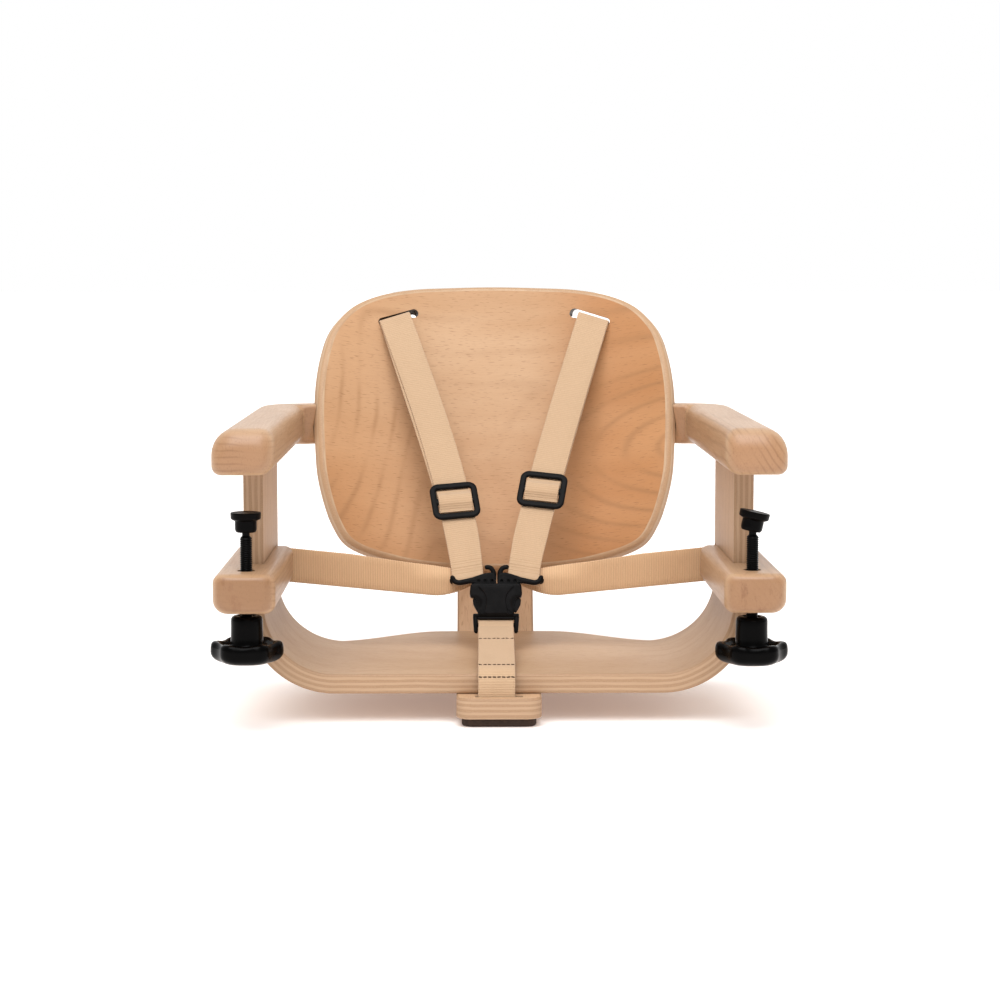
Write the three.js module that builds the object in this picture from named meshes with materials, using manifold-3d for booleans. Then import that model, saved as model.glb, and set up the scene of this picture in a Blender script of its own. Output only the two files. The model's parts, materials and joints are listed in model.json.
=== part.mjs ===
// Hook-on table chair for a small child, in millimetres, +Z up, standing on its own foot strip.
// The sitter faces -Y, where the two clamp arms grip a table top, and +X is the viewer's right.
// While it is built, Y is measured back from the front ends of the arms and Z up from the floor.
import * as THREE from "three";
import { mergeVertices } from "three/addons/utils/BufferGeometryUtils.js";
import Module from "manifold-3d";

const wasm = await Module();
wasm.setup();

// Gap between pieces that seat on each other.
const FIT = 0.3;

// Moulded U shell: the seat with its two side panels.
const PLY = 13;
const SHELL_INNER_WIDTH = 314;
const SHELL_BEND_RADIUS = 47;
const SHELL_FRONT_Y = 60;
const SIDE_DEPTH = 124;
const SEAT_SIDE_DEPTH = 146;
const SEAT_CENTRE_DEPTH = 192;
const SEAT_TONGUE_HALF = 40;
const SEAT_TONGUE_END = 116;
const SIDE_SWEEP = 30;
const PLY_EDGE = 1.5;

// Foot strip that bends up behind the seat into the back spine.
const STRIP_WIDTH = 57;
const STRIP_THICKNESS = 14;
const STRIP_OVERHANG = 18.5;
const STRIP_BEND_RADIUS = 32;
const STRIP_CORNER = 10;
const SPINE_LENGTH = 215;
const BACK_LEAN = THREE.MathUtils.degToRad(24);

// Rubber foot pads under the strip.
const FOOT_HEIGHT = 6;
const FOOT_WIDTH = 50;
const FOOT_LENGTH = 36;
const FOOT_CORNER = 6;
const FRONT_FOOT_SETBACK = 23.5;
const REAR_FOOT_SETBACK = 21;

// Backrest: a moulded panel, hollow towards the sitter.
const BACK_PLY = 12;
const BACK_EDGE = 2.2;
const BACK_HOLLOW_RADIUS = 275;
const BACK_CENTRE_HEIGHT = 190;
const BACK_HALF_WIDTH = 138.3;
const BACK_RISE = 105;
const BACK_DROP = 120;

// Solid arms.
const ARM_WIDTH = 40.6;
const ARM_OUTSET = 1.5;
const UPPER_ARM_THICKNESS = 30;
const UPPER_ARM_CORNER = 3;
const UPPER_ARM_TURN = THREE.MathUtils.degToRad(66);
const ARM_TAIL_LEAD = 8;
const ARM_TAIL_WIDTH = 26;
const ARM_TAIL_LENGTH = 48;
const ARM_NOSE = { top: 14, under: 7, side: 9 };
const ARM_EDGE = { front: [16, 9, 10, 6], tail: [6, 3, 3, 4] };
const TENON = 12;
const LOWER_ARM_THICKNESS = 26;
const LOWER_ARM_SETBACK = 14;
const LOWER_ARM_UNDERSIDE = 82.3;
const LOWER_ARM_EDGE = 6;
const LOWER_ARM_NOSE = 8;
const CLAMP_OPENING = 63.7;

// Clamp screws, M8, with a lobed knob below and a ball-jointed pad above.
const SCREW_Y = 24.2;
const SCREW_DIAMETER = 8;
const SCREW_NECK_DIAMETER = 5;
const NECK_SHOW = 3;
const INSERT_DIAMETER = 12;
const INSERT_FLANGE_DIAMETER = 16;
const INSERT_FLANGE = 2;
const INSERT_LENGTH = 16;
const INSERT_RECESS = 2.5;
const BALL_RADIUS = 4.5;
const BALL_FLAT = 3.4;
const PAD_DIAMETER = 20;
const PAD_FLANGE = 5;
const PAD_STEM_DIAMETER = 14;
const PAD_HEIGHT = 13;
const PAD_EDGE = 0.7;
const PAD_BALL_HEIGHT = 5.6;
const SOCKET_WRAP = THREE.MathUtils.degToRad(126);
const PAD_REACH = { left: 38.2, right: 38.5 };
const RIGHT_PAD_TILT = THREE.MathUtils.degToRad(12);
const KNOB_RIM_RADIUS = 22.6;
const KNOB_RIM_HEIGHT = 16;
const KNOB_LOBE = 1.3;
const KNOB_LOBES = 6;
const KNOB_HUB_RADIUS = 10.4;
const KNOB_HEIGHT = 32;
const KNOB_GAP = { left: 3.3, right: 4.5 };
const KNOB_BORE_DEPTH = 22;

// Harness webbing and its fittings.
const WEB_WIDTH = 25;
const WEB = 1.6;
const SLOT_LENGTH = 31;
const SLOT_HEIGHT = 7;
const SLOT_ACROSS = 79;
const SLOT_UP = 72;
const SLOT_SLOPE = THREE.MathUtils.degToRad(12);
const TWIST_ROOM = 1.9;
const STRAP_BEND = 4;
const KEEPER_DIAMETER = 5;
const KEEPER_LENGTH = 40;
const SLIDER_WIDTH = 35;
const SLIDER_LENGTH = 29;
const SLIDER_THICKNESS = 3;
const SLIDER_BAR = 4.6;
const SLIDER_CORNER = 6.5;
const SLIDER_PLACE = { left: 64, right: 73 };
const WAIST_SLOT_INSET = 8;
const WAIST_SLOT_HEIGHT = 94;
const WAIST_SLOT_WIDTH = 4.4;
const WAIST_SLOT_LENGTH = 29;
const WAIST_END = 13;
const WAIST_TAPER = 14.5;
const WAIST_DROP = 0.5;
const WAIST_ROOM = 1.4;
const WAIST_BEND = 5;
const WAIST_PIN_DIAMETER = 4;
const WAIST_PIN_LENGTH = 34;

// Harness buckle, which lies in a plane that leans back.
const BUCKLE_Y = 160;
const BUCKLE_HEIGHT = 58;
const BUCKLE_LEAN = THREE.MathUtils.degToRad(16);
const BUCKLE_THICKNESS = 9;
const BUCKLE_CAVITY = 5;
const BUCKLE_HALF_WIDTH = 20;
const BUCKLE_BODY_HEIGHT = 23;
const BUCKLE_SIDE_WALL = 2.5;
const BUCKLE_FLOOR = 3;
const BUCKLE_SHOULDER = 1.6;
const TONGUE_THICKNESS = 4;
const TONGUE_ENTRY = 2.6;
const TONGUE_HEIGHT = 14;
const TONGUE_GAP = 1;
const TONGUE_HOLE = 2.2;
const STRAP_ROD_DIAMETER = 3;
const HOOK_ACROSS = 21.5;
const HOOK_RISE = 4.2;
const HOOK_SLOPE = THREE.MathUtils.degToRad(15);
const LUG = 3;
const LUG_MARGIN = 0.2;
const LEG_LENGTH = 14.6;
const LEG_WIDTH = 4;
const LEG_THICKNESS = 5;
const LEG_CLEAR = 1.3;
const LEG_BAR_DROP = 9;

// Crotch strap anchor in the front of the foot strip.
const CROTCH_SLOT_AHEAD = 9.7;
const CROTCH_SLOT_LENGTH = 32;
const CROTCH_PIN_DIAMETER = 5;
const CROTCH_PIN_LENGTH = 35.4;
const CROTCH_PIN_RISE = 4.8;
const CROTCH_CREST_RISE = 3.7;
const CROTCH_BEND = 9;

// Wood screws: head diameter, head height and shank diameter.
const HEAD_DIAMETER = 10;
const HEAD_HEIGHT = 2.6;
const SHANK_DIAMETER = 5;
const SEAT_SCREW_DEPTH = { front: 55, rear: 100 };
const BACK_SCREW_UP = { lower: -70, upper: 10 };
const CROSS_SCREW_INSET = { front: 32, rear: 28 };
const CROSS_SCREW_LENGTH = 32;
const TAIL_SCREW_ACROSS = 112;
const TAIL_SCREW_GRIP = 18;

// Heights and places that follow from the sizes above.
const SEAT_UNDERSIDE = FOOT_HEIGHT + STRIP_THICKNESS + FIT;
const SEAT_TOP = SEAT_UNDERSIDE + PLY;
const SIDE_X = SHELL_INNER_WIDTH / 2;
const ARM_X = SIDE_X + PLY / 2 + ARM_OUTSET;
const LOWER_ARM_TOP = LOWER_ARM_UNDERSIDE + LOWER_ARM_THICKNESS;
const UPPER_ARM_UNDERSIDE = LOWER_ARM_TOP + CLAMP_OPENING;
const SIDE_TOP = UPPER_ARM_UNDERSIDE + TENON;
const SIDE_REAR_Y = SHELL_FRONT_Y + SIDE_DEPTH;
const LOWER_ARM_LENGTH = SIDE_REAR_Y - LOWER_ARM_SETBACK;
const STRIP_FRONT_Y = SHELL_FRONT_Y - STRIP_OVERHANG;
const CROTCH_SLOT_Y = SHELL_FRONT_Y - CROTCH_SLOT_AHEAD;
const CROTCH_PIN_HEIGHT = FOOT_HEIGHT + CROTCH_PIN_RISE;
const CROTCH_CREST = SEAT_TOP + CROTCH_CREST_RISE;
const WAIST_SLOT_Y = SIDE_REAR_Y - WAIST_SLOT_INSET;
const HOOK_UP = BUCKLE_BODY_HEIGHT + HOOK_RISE;

// Materials, each piece with its own copy.
const FINISHES = {
  beech: { color: 0xd8ad80, roughness: 0.55, metalness: 0 },
  plywood: { color: 0xdfb98e, roughness: 0.5, metalness: 0 },
  blackPlastic: { color: 0x17171a, roughness: 0.35, metalness: 0 },
  blackSteel: { color: 0x1c1c1f, roughness: 0.4, metalness: 0.8 },
  steel: { color: 0x8d8f92, roughness: 0.35, metalness: 1 },
  webbing: { color: 0xd9b48a, roughness: 0.9, metalness: 0 },
  rubber: { color: 0x3a3230, roughness: 0.85, metalness: 0 },
};

/** Merge shared points, drop faces without area and turn the faces outwards. */
function tidy(geometry) {
  const bare = new THREE.BufferGeometry();
  bare.setAttribute("position", geometry.getAttribute("position").clone());
  bare.setIndex(geometry.index);
  const merged = mergeVertices(bare, 1e-4);
  const place = merged.getAttribute("position");
  const corners = [0, 1, 2].map(() => new THREE.Vector3());
  const faces = [];
  let volume = 0;
  for (let i = 0; i < merged.index.count; i += 3) {
    const face = [0, 1, 2].map((k) => merged.index.getX(i + k));
    if (new Set(face).size < 3) {
      continue;
    }
    face.forEach((index, k) => corners[k].fromBufferAttribute(place, index));
    volume += corners[0].dot(corners[1].clone().cross(corners[2]));
    faces.push(face);
  }
  if (volume < 0) {
    faces.forEach((face) => face.reverse());
  }
  merged.setIndex(faces.flat());
  return merged;
}

/** The solid that boolean work needs. */
function solid(geometry) {
  const clean = tidy(geometry);
  const vertProperties = new Float32Array(clean.getAttribute("position").array);
  const triVerts = new Uint32Array(clean.index.array);
  return new wasm.Manifold(new wasm.Mesh({ numProp: 3, vertProperties, triVerts }));
}

/** A geometry made from a boolean result. */
function geometryOf(result) {
  const mesh = result.getMesh();
  const geometry = new THREE.BufferGeometry();
  geometry.setAttribute("position", new THREE.Float32BufferAttribute(mesh.vertProperties, 3));
  geometry.setIndex(Array.from(mesh.triVerts));
  return geometry;
}

/** A body with the space of each tool taken out of it. */
function cut(body, ...tools) {
  const made = tools.reduce((rest, tool) => rest.subtract(solid(tool)), solid(body));
  return geometryOf(made);
}

/** Several overlapping bodies as one. */
function join(...bodies) {
  const made = bodies.map(solid).reduce((whole, body) => whole.add(body));
  return geometryOf(made);
}

/** The space that two bodies share. */
function common(first, second) {
  return geometryOf(solid(first).intersect(solid(second)));
}

/** A closed solid through a row of rings that have the same number of points. */
function loft(rings) {
  const count = rings[0].length;
  const points = rings.flat();
  const faces = [];
  for (let i = 0; i + 1 < rings.length; i += 1) {
    for (let j = 0; j < count; j += 1) {
      const near = i * count + j;
      const next = i * count + ((j + 1) % count);
      faces.push(near, next, next + count);
      faces.push(near, next + count, near + count);
    }
  }
  const last = (rings.length - 1) * count;
  for (const start of [0, last]) {
    const middle = points.length;
    const centre = new THREE.Vector3();
    points.slice(start, start + count).forEach((point) => centre.addScaledVector(point, 1 / count));
    points.push(centre);
    for (let j = 0; j < count; j += 1) {
      const near = start + j;
      const next = start + ((j + 1) % count);
      faces.push(...(start === 0 ? [middle, next, near] : [middle, near, next]));
    }
  }
  const geometry = new THREE.BufferGeometry().setFromPoints(points);
  geometry.setIndex(faces);
  return tidy(geometry);
}

/** A solid of revolution about +Z, from [radius, height] pairs. */
function revolve(profile, segments = 20) {
  const points = profile.map(([radius, height]) => new THREE.Vector2(radius, height));
  return tidy(new THREE.LatheGeometry(points, segments).rotateX(Math.PI / 2));
}

/** A straight round bar from the origin along +Z. */
function rod(radius, length, segments = 16) {
  const profile = [[0, 0], [radius, 0], [radius, length], [0, length]];
  return revolve(profile, segments);
}

/** A box between two corners. */
function block(low, high) {
  const size = high.map((value, i) => value - low[i]);
  const middle = high.map((value, i) => (value + low[i]) / 2);
  return new THREE.BoxGeometry(...size).translate(...middle);
}

/** A flat outline, an array of [x, y] pairs or a shape, raised along +Z about z = 0. */
function plate(outline, thickness) {
  const shape = Array.isArray(outline)
    ? new THREE.Shape(outline.map(([x, y]) => new THREE.Vector2(x, y)))
    : outline;
  const geometry = new THREE.ExtrudeGeometry(shape, {
    depth: thickness,
    bevelEnabled: false,
    curveSegments: 6,
  });
  return geometry.translate(0, 0, -thickness / 2);
}

/** A slot outline with round ends, lying along x. */
function stadium(length, height) {
  const radius = height / 2;
  const reach = length / 2 - radius;
  const shape = new THREE.Shape();
  shape.absarc(reach, 0, radius, -Math.PI / 2, Math.PI / 2);
  shape.absarc(-reach, 0, radius, Math.PI / 2, Math.PI * 1.5);
  return shape;
}

/** A matrix that carries x, y and z to three directions and the origin to a point. */
function frame(x, y, z, origin) {
  return new THREE.Matrix4().makeBasis(x, y, z).setPosition(origin);
}

/** A copy of a geometry carried by a matrix. */
function placed(geometry, matrix) {
  return geometry.clone().applyMatrix4(matrix);
}

/** A rectangle outline with its own radius at each corner, anticlockwise from the right top. */
function roundedOutline(width, height, radii, steps = 4) {
  const most = Math.min(width, height) / 2 - 0.2;
  const corners = [[1, 1], [-1, 1], [-1, -1], [1, -1]];
  return corners.flatMap(([right, up], i) => {
    const radius = Math.min(radii[i], most);
    const centre = new THREE.Vector2(right * (width / 2 - radius), up * (height / 2 - radius));
    return Array.from({ length: steps + 1 }, (_, k) => {
      const angle = (i + k / steps) * (Math.PI / 2);
      return new THREE.Vector2(Math.cos(angle), Math.sin(angle)).multiplyScalar(radius).add(centre);
    });
  });
}

/** How far a quarter-round end draws in, at a distance from that end. */
function drawIn(radius, distance) {
  const rest = Math.max(0, 1 - distance / radius);
  return radius * (1 - Math.sqrt(1 - rest * rest));
}

/** A band of even thickness along a plan path whose corners are rounded. */
function band(corners, radius, thickness) {
  const path = [corners[0]];
  for (let i = 1; i + 1 < corners.length; i += 1) {
    const before = corners[i - 1].clone().sub(corners[i]).normalize();
    const after = corners[i + 1].clone().sub(corners[i]).normalize();
    const half = Math.acos(before.dot(after)) / 2;
    const start = corners[i].clone().addScaledVector(before, radius / Math.tan(half));
    const end = corners[i].clone().addScaledVector(after, radius / Math.tan(half));
    const bend = new THREE.QuadraticBezierCurve(start, corners[i], end);
    path.push(...bend.getPoints(6));
  }
  path.push(corners[corners.length - 1]);
  const sides = [1, -1].map((side) => path.map((point, i) => {
    const ahead = path[Math.min(i + 1, path.length - 1)];
    const behind = path[Math.max(i - 1, 0)];
    const along = ahead.clone().sub(behind).normalize();
    const across = new THREE.Vector2(-along.y, along.x);
    return point.clone().addScaledVector(across, (side * thickness) / 2);
  }));
  return new THREE.Shape([...sides[0], ...sides[1].reverse()]);
}

/** A round eye of webbing about a point of a band's plane. */
function eye(centre, inner, outer, width) {
  const shape = new THREE.Shape();
  shape.absarc(centre.x, centre.y, outer, 0, Math.PI * 2);
  const hole = new THREE.Path();
  hole.absarc(centre.x, centre.y, inner, 0, Math.PI * 2);
  shape.holes.push(hole);
  return plate(shape, width);
}

/** A wood screw with its head's top at z = 0, pointing down, or the hole for it if it is swollen. */
function woodScrew(length, swell = 0) {
  const head = HEAD_DIAMETER / 2 + swell;
  const shank = SHANK_DIAMETER / 2 + swell;
  const lift = swell > 0 ? HEAD_DIAMETER : 0;
  return revolve([
    [0, lift],
    [head, lift],
    [head, -HEAD_HEIGHT - swell],
    [shank, -HEAD_HEIGHT - swell],
    [shank, -length - swell],
    [0, -length - swell],
  ], 12);
}

const chair = new THREE.Group();
const assembly = new THREE.Group();
const rightSide = new THREE.Group();
const leftSide = new THREE.Group();
leftSide.scale.x = -1;
assembly.add(rightSide, leftSide);
chair.add(assembly);

/** Add one named piece to a group. */
function piece(name, geometry, finish, group = assembly) {
  const material = new THREE.MeshStandardMaterial(FINISHES[finish]);
  const mesh = new THREE.Mesh(geometry, material);
  mesh.name = name;
  group.add(mesh);
  return mesh;
}

/** Add a right-hand piece and its mirror image. */
function pair(name, geometry, finish) {
  piece(`right_${name}`, geometry, finish, rightSide);
  piece(`left_${name}`, geometry.clone(), finish, leftSide);
}

// Spine line: the front face of the strip, seen from the side, after its bend.
const SPINE_TURN = Math.PI / 2 - BACK_LEAN;
const STRIP_TOP = FOOT_HEIGHT + STRIP_THICKNESS;
const SEAT_REAR_Y = SHELL_FRONT_Y + SEAT_CENTRE_DEPTH;
const touchAngle = Math.acos(1 - (SEAT_TOP - STRIP_TOP) / STRIP_BEND_RADIUS);
const BEND_START_Y = SEAT_REAR_Y - STRIP_BEND_RADIUS * Math.sin(touchAngle);
const BEND_CENTRE_Z = STRIP_TOP + STRIP_BEND_RADIUS;
const spineUp = new THREE.Vector3(0, Math.sin(BACK_LEAN), Math.cos(BACK_LEAN));
const backNormal = new THREE.Vector3(0, -Math.cos(BACK_LEAN), Math.sin(BACK_LEAN));
const acrossAxis = new THREE.Vector3(1, 0, 0);
const spineFoot = new THREE.Vector3(
  0,
  BEND_START_Y + STRIP_BEND_RADIUS * Math.sin(SPINE_TURN),
  BEND_CENTRE_Z - STRIP_BEND_RADIUS * Math.cos(SPINE_TURN),
);

/** The J-shaped strip, swollen by a margin on all its long faces. */
function stripGeometry(swell = 0) {
  const width = STRIP_WIDTH + 2 * swell;
  const thickness = STRIP_THICKNESS + 2 * swell;
  const rings = [];
  const addRing = (origin, normal, inset = 0) => {
    const ring = roundedOutline(width - 2 * inset, thickness, [2, 2, 2, 2], 2);
    rings.push(ring.map(({ x, y }) => origin.clone()
      .addScaledVector(acrossAxis, x)
      .addScaledVector(normal, y - STRIP_THICKNESS / 2)));
  };
  const up = new THREE.Vector3(0, 0, 1);
  const flat = (y) => new THREE.Vector3(0, y, STRIP_TOP);
  for (let k = 0; k <= 6; k += 1) {
    const distance = STRIP_CORNER * (1 - Math.cos((k / 6) * (Math.PI / 2)));
    addRing(flat(STRIP_FRONT_Y - swell + distance), up, drawIn(STRIP_CORNER, distance));
  }
  const steps = 8;
  for (let k = 0; k <= steps; k += 1) {
    const angle = (k / steps) * SPINE_TURN;
    const normal = new THREE.Vector3(0, -Math.sin(angle), Math.cos(angle));
    const centre = new THREE.Vector3(0, BEND_START_Y, BEND_CENTRE_Z);
    addRing(centre.addScaledVector(normal, -STRIP_BEND_RADIUS), normal);
  }
  for (let k = 6; k >= 0; k -= 1) {
    const distance = STRIP_CORNER * (1 - Math.cos((k / 6) * (Math.PI / 2)));
    const end = spineFoot.clone().addScaledVector(spineUp, SPINE_LENGTH + swell - distance);
    addRing(end, backNormal, drawIn(STRIP_CORNER, distance));
  }
  return loft(rings);
}

// Backrest frame: x across, y up the lean, z towards the sitter, origin on the hollow face.
const backRise = (BACK_CENTRE_HEIGHT - spineFoot.z) / spineUp.z;
const backOrigin = spineFoot.clone()
  .addScaledVector(spineUp, backRise)
  .addScaledVector(backNormal, FIT + BACK_PLY);

/** A point of the backrest, from its place along the curve, up the lean and behind its face. */
function onBack(along, up, depth = 0) {
  const angle = along / BACK_HOLLOW_RADIUS;
  const radius = BACK_HOLLOW_RADIUS + depth;
  return backOrigin.clone()
    .addScaledVector(acrossAxis, radius * Math.sin(angle))
    .addScaledVector(spineUp, up)
    .addScaledVector(backNormal, BACK_HOLLOW_RADIUS - radius * Math.cos(angle));
}

/** The direction that points out of the backrest's hollow face. */
function backFacing(along) {
  const angle = along / BACK_HOLLOW_RADIUS;
  return backNormal.clone()
    .multiplyScalar(Math.cos(angle))
    .addScaledVector(acrossAxis, -Math.sin(angle));
}

/** The backrest outline, flat, as points about its middle: shares of its width, rise and drop. */
function backOutline() {
  const upper = [
    [0, 1],
    [0.23, 0.986],
    [0.46, 0.948],
    [0.65, 0.871],
    [0.79, 0.762],
    [0.875, 0.64],
    [0.93, 0.52],
    [0.97, 0.34],
    [0.995, 0.12],
  ].map(([x, y]) => [x, y * BACK_RISE]);
  const lower = [
    [1, 0.1],
    [0.99, 0.33],
    [0.974, 0.51],
    [0.93, 0.7],
    [0.88, 0.823],
    [0.775, 0.933],
    [0.5, 0.985],
    [0.2, 1],
    [0, 1],
  ].map(([x, y]) => [x, -y * BACK_DROP]);
  const half = [...upper, ...lower];
  const farSide = half.slice(1, -1).reverse().map(([x, y]) => [-x, y]);
  const points = [...half, ...farSide].map(([x, y]) => new THREE.Vector3(x * BACK_HALF_WIDTH, y, 0));
  return new THREE.CatmullRomCurve3(points, true, "centripetal").getSpacedPoints(52).slice(0, -1);
}

/** The backrest panel, swollen by a margin, and grown towards the sitter when it is a tool. */
function backGeometry(swell = 0, ahead = 0) {
  const outline = backOutline();
  const ring = (scale, inset, depth) => outline.map((point) => {
    const shrink = scale * (1 - (inset - swell) / BACK_RISE);
    return onBack(point.x * shrink, point.y * shrink, depth);
  });
  const front = -swell - ahead;
  const rear = BACK_PLY + swell;
  const spread = [0.05, 0.4, 0.7, 0.88];
  return loft([
    ...spread.map((scale) => ring(scale, 0, front)),
    ring(1, BACK_EDGE, front),
    ring(1, 0, front + BACK_EDGE),
    ring(1, 0, rear - BACK_EDGE),
    ring(1, BACK_EDGE, rear),
    ...spread.map((scale) => ring(scale, 0, rear)).reverse(),
  ]);
}

// Buckle frame: x across, y up its lean, z towards the viewer.
const buckleUp = new THREE.Vector3(0, Math.sin(BUCKLE_LEAN), Math.cos(BUCKLE_LEAN));
const buckleFacing = new THREE.Vector3(0, -Math.cos(BUCKLE_LEAN), Math.sin(BUCKLE_LEAN));
const bucklePlace = frame(
  acrossAxis,
  buckleUp,
  buckleFacing,
  new THREE.Vector3(0, BUCKLE_Y, BUCKLE_HEIGHT),
);

// Hook rod of the right-hand tongue, behind its plate, and the strap that runs from it to its slot.
const EYE_INNER = STRAP_ROD_DIAMETER / 2 + FIT;
const EYE_OUTER = EYE_INNER + WEB;
const HOOK_DEPTH = -(TONGUE_THICKNESS / 2 + FIT + EYE_OUTER + TWIST_ROOM);
const hookLocal = new THREE.Vector3(HOOK_ACROSS, HOOK_UP, HOOK_DEPTH);
const hook = hookLocal.clone().applyMatrix4(bucklePlace);
const SLOT_STAND_OFF = WEB + TWIST_ROOM;
const slotMouth = onBack(SLOT_ACROSS, SLOT_UP, -SLOT_STAND_OFF);
const strapAlong = slotMouth.clone().sub(hook).normalize();
const rodLocal = new THREE.Vector3(Math.cos(HOOK_SLOPE), -Math.sin(HOOK_SLOPE), 0);
const rodAlong = rodLocal.clone().transformDirection(bucklePlace);
const slotAngle = SLOT_ACROSS / BACK_HOLLOW_RADIUS;
const slotAlong = acrossAxis.clone()
  .multiplyScalar(Math.cos(slotAngle))
  .addScaledVector(backNormal, Math.sin(slotAngle))
  .multiplyScalar(Math.cos(SLOT_SLOPE))
  .addScaledVector(spineUp, -Math.sin(SLOT_SLOPE));
const halfway = rodAlong.clone().add(slotAlong);
const strapAcross = halfway.addScaledVector(strapAlong, -halfway.dot(strapAlong)).normalize();
const strapFacing = strapAcross.clone().cross(strapAlong);
const strapPlace = frame(strapAlong, strapFacing, strapAcross, hook);

/** A direction of the chair, as seen in the plane of the strap's side view. */
function inStrapPlane(direction) {
  return new THREE.Vector2(direction.dot(strapAlong), direction.dot(strapFacing)).normalize();
}

// Where the strap turns into the slot, and the keeper pin behind the backrest.
const slotIn = inStrapPlane(backFacing(SLOT_ACROSS).negate());
const strapCorner = new THREE.Vector2(slotMouth.distanceTo(hook), 0);
const slotFace = strapCorner.clone().addScaledVector(slotIn, SLOT_STAND_OFF);
const KEEPER_EYE = KEEPER_DIAMETER / 2 + FIT;
const keeperDepth = BACK_PLY + FIT + KEEPER_EYE + WEB + TWIST_ROOM;
const keeperMiddle = slotFace.clone().addScaledVector(slotIn, keeperDepth);

/** The long hole in the backrest that the right-hand shoulder strap passes. */
function shoulderSlotTool() {
  const upward = new THREE.Vector2(-slotIn.y, slotIn.x);
  const inward = new THREE.Vector3()
    .addScaledVector(strapAlong, slotIn.x)
    .addScaledVector(strapFacing, slotIn.y);
  const rise = new THREE.Vector3()
    .addScaledVector(strapAlong, upward.x)
    .addScaledVector(strapFacing, upward.y);
  const middle = new THREE.Vector3(slotFace.x, slotFace.y, 0).applyMatrix4(strapPlace);
  const tool = plate(stadium(SLOT_LENGTH, SLOT_HEIGHT), 4 * BACK_PLY);
  return placed(tool, frame(strapAcross, rise, inward.negate(), middle));
}

/** A geometry seen in a mirror that stands on the middle plane. */
function mirrored(geometry) {
  return tidy(geometry.clone().scale(-1, 1, 1));
}

// Screws: each has a place on the outside of what it holds and points into it.
const screws = [];

/** Note a screw whose head lies below a face, and give its hole. */
function screwAt(name, point, inward, length) {
  const axis = inward.clone().normalize();
  const turn = new THREE.Quaternion().setFromUnitVectors(new THREE.Vector3(0, 0, -1), axis);
  const head = point.clone().addScaledVector(axis, FIT);
  const place = new THREE.Matrix4().compose(head, turn, new THREE.Vector3(1, 1, 1));
  screws.push({ name, geometry: placed(woodScrew(length), place) });
  return placed(woodScrew(length, FIT), place);
}

const seatScrewHoles = Object.entries(SEAT_SCREW_DEPTH).map(([place, depth]) => screwAt(
  `seat_screw_${place}`,
  new THREE.Vector3(0, SHELL_FRONT_Y + depth, FOOT_HEIGHT),
  new THREE.Vector3(0, 0, 1),
  STRIP_THICKNESS + 0.65 * PLY,
));
const backScrewHoles = Object.entries(BACK_SCREW_UP).map(([place, up]) => screwAt(
  `back_screw_${place}`,
  onBack(0, up, BACK_PLY + FIT + STRIP_THICKNESS),
  backNormal,
  STRIP_THICKNESS + 0.65 * BACK_PLY,
));

// Upper arm: a rounded stick, straight over the side panel, whose tail turns in behind the backrest.
const ARM_INNER_X = ARM_X - ARM_WIDTH / 2;
const upperArmMiddle = UPPER_ARM_UNDERSIDE + UPPER_ARM_THICKNESS / 2;

/** How far up the backrest a height lies, at a distance from its middle along the curve. */
function upAtHeight(height, along, depth) {
  return (height - onBack(along, 0, depth).z) / spineUp.z;
}

const backEdge = onBack(
  BACK_HALF_WIDTH,
  upAtHeight(upperArmMiddle, BACK_HALF_WIDTH, BACK_PLY),
  BACK_PLY,
);
const UPPER_ARM_STRAIGHT = backEdge.y - ARM_TAIL_LEAD;
const pivot = new THREE.Vector2(ARM_INNER_X - UPPER_ARM_CORNER, UPPER_ARM_STRAIGHT);

/** One cross-section of the upper arm: its place in plan, its outward direction and its size. */
function armRing(inner, outward, width, low, high, radii) {
  const outline = roundedOutline(width, high - low, radii);
  return outline.map(({ x, y }) => new THREE.Vector3(
    inner.x + outward.x * (x + width / 2),
    inner.y + outward.y * (x + width / 2),
    UPPER_ARM_UNDERSIDE + (low + high) / 2 + y,
  ));
}

/** The right upper arm before it is fitted to its neighbours. */
function upperArmBlank() {
  const rings = [];
  const outward = new THREE.Vector2(1, 0);
  const stations = [0, 0.06, 0.17, 0.36, 0.64, 1].map((share) => share * ARM_NOSE.top);
  for (const distance of [...stations, UPPER_ARM_STRAIGHT]) {
    const side = drawIn(ARM_NOSE.side, distance);
    rings.push(armRing(
      new THREE.Vector2(ARM_INNER_X + side, distance),
      outward,
      ARM_WIDTH - 2 * side,
      drawIn(ARM_NOSE.under, distance),
      UPPER_ARM_THICKNESS - drawIn(ARM_NOSE.top, distance),
      ARM_EDGE.front,
    ));
  }
  const steps = 6;
  for (let k = 1; k <= steps; k += 1) {
    const share = k / steps;
    const angle = share * UPPER_ARM_TURN;
    const heading = new THREE.Vector2(Math.cos(angle), Math.sin(angle));
    const inner = pivot.clone().addScaledVector(heading, UPPER_ARM_CORNER);
    const width = THREE.MathUtils.lerp(ARM_WIDTH, ARM_TAIL_WIDTH, share);
    const radii = ARM_EDGE.front.map((radius, i) => THREE.MathUtils.lerp(radius, ARM_EDGE.tail[i], share));
    rings.push(armRing(inner, heading, width, 0, UPPER_ARM_THICKNESS, radii));
    if (k === steps) {
      const along = new THREE.Vector2(-heading.y, heading.x);
      const end = inner.clone().addScaledVector(along, ARM_TAIL_LENGTH);
      rings.push(armRing(end, heading, width, 0, UPPER_ARM_THICKNESS, ARM_EDGE.tail));
    }
  }
  return loft(rings);
}

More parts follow.
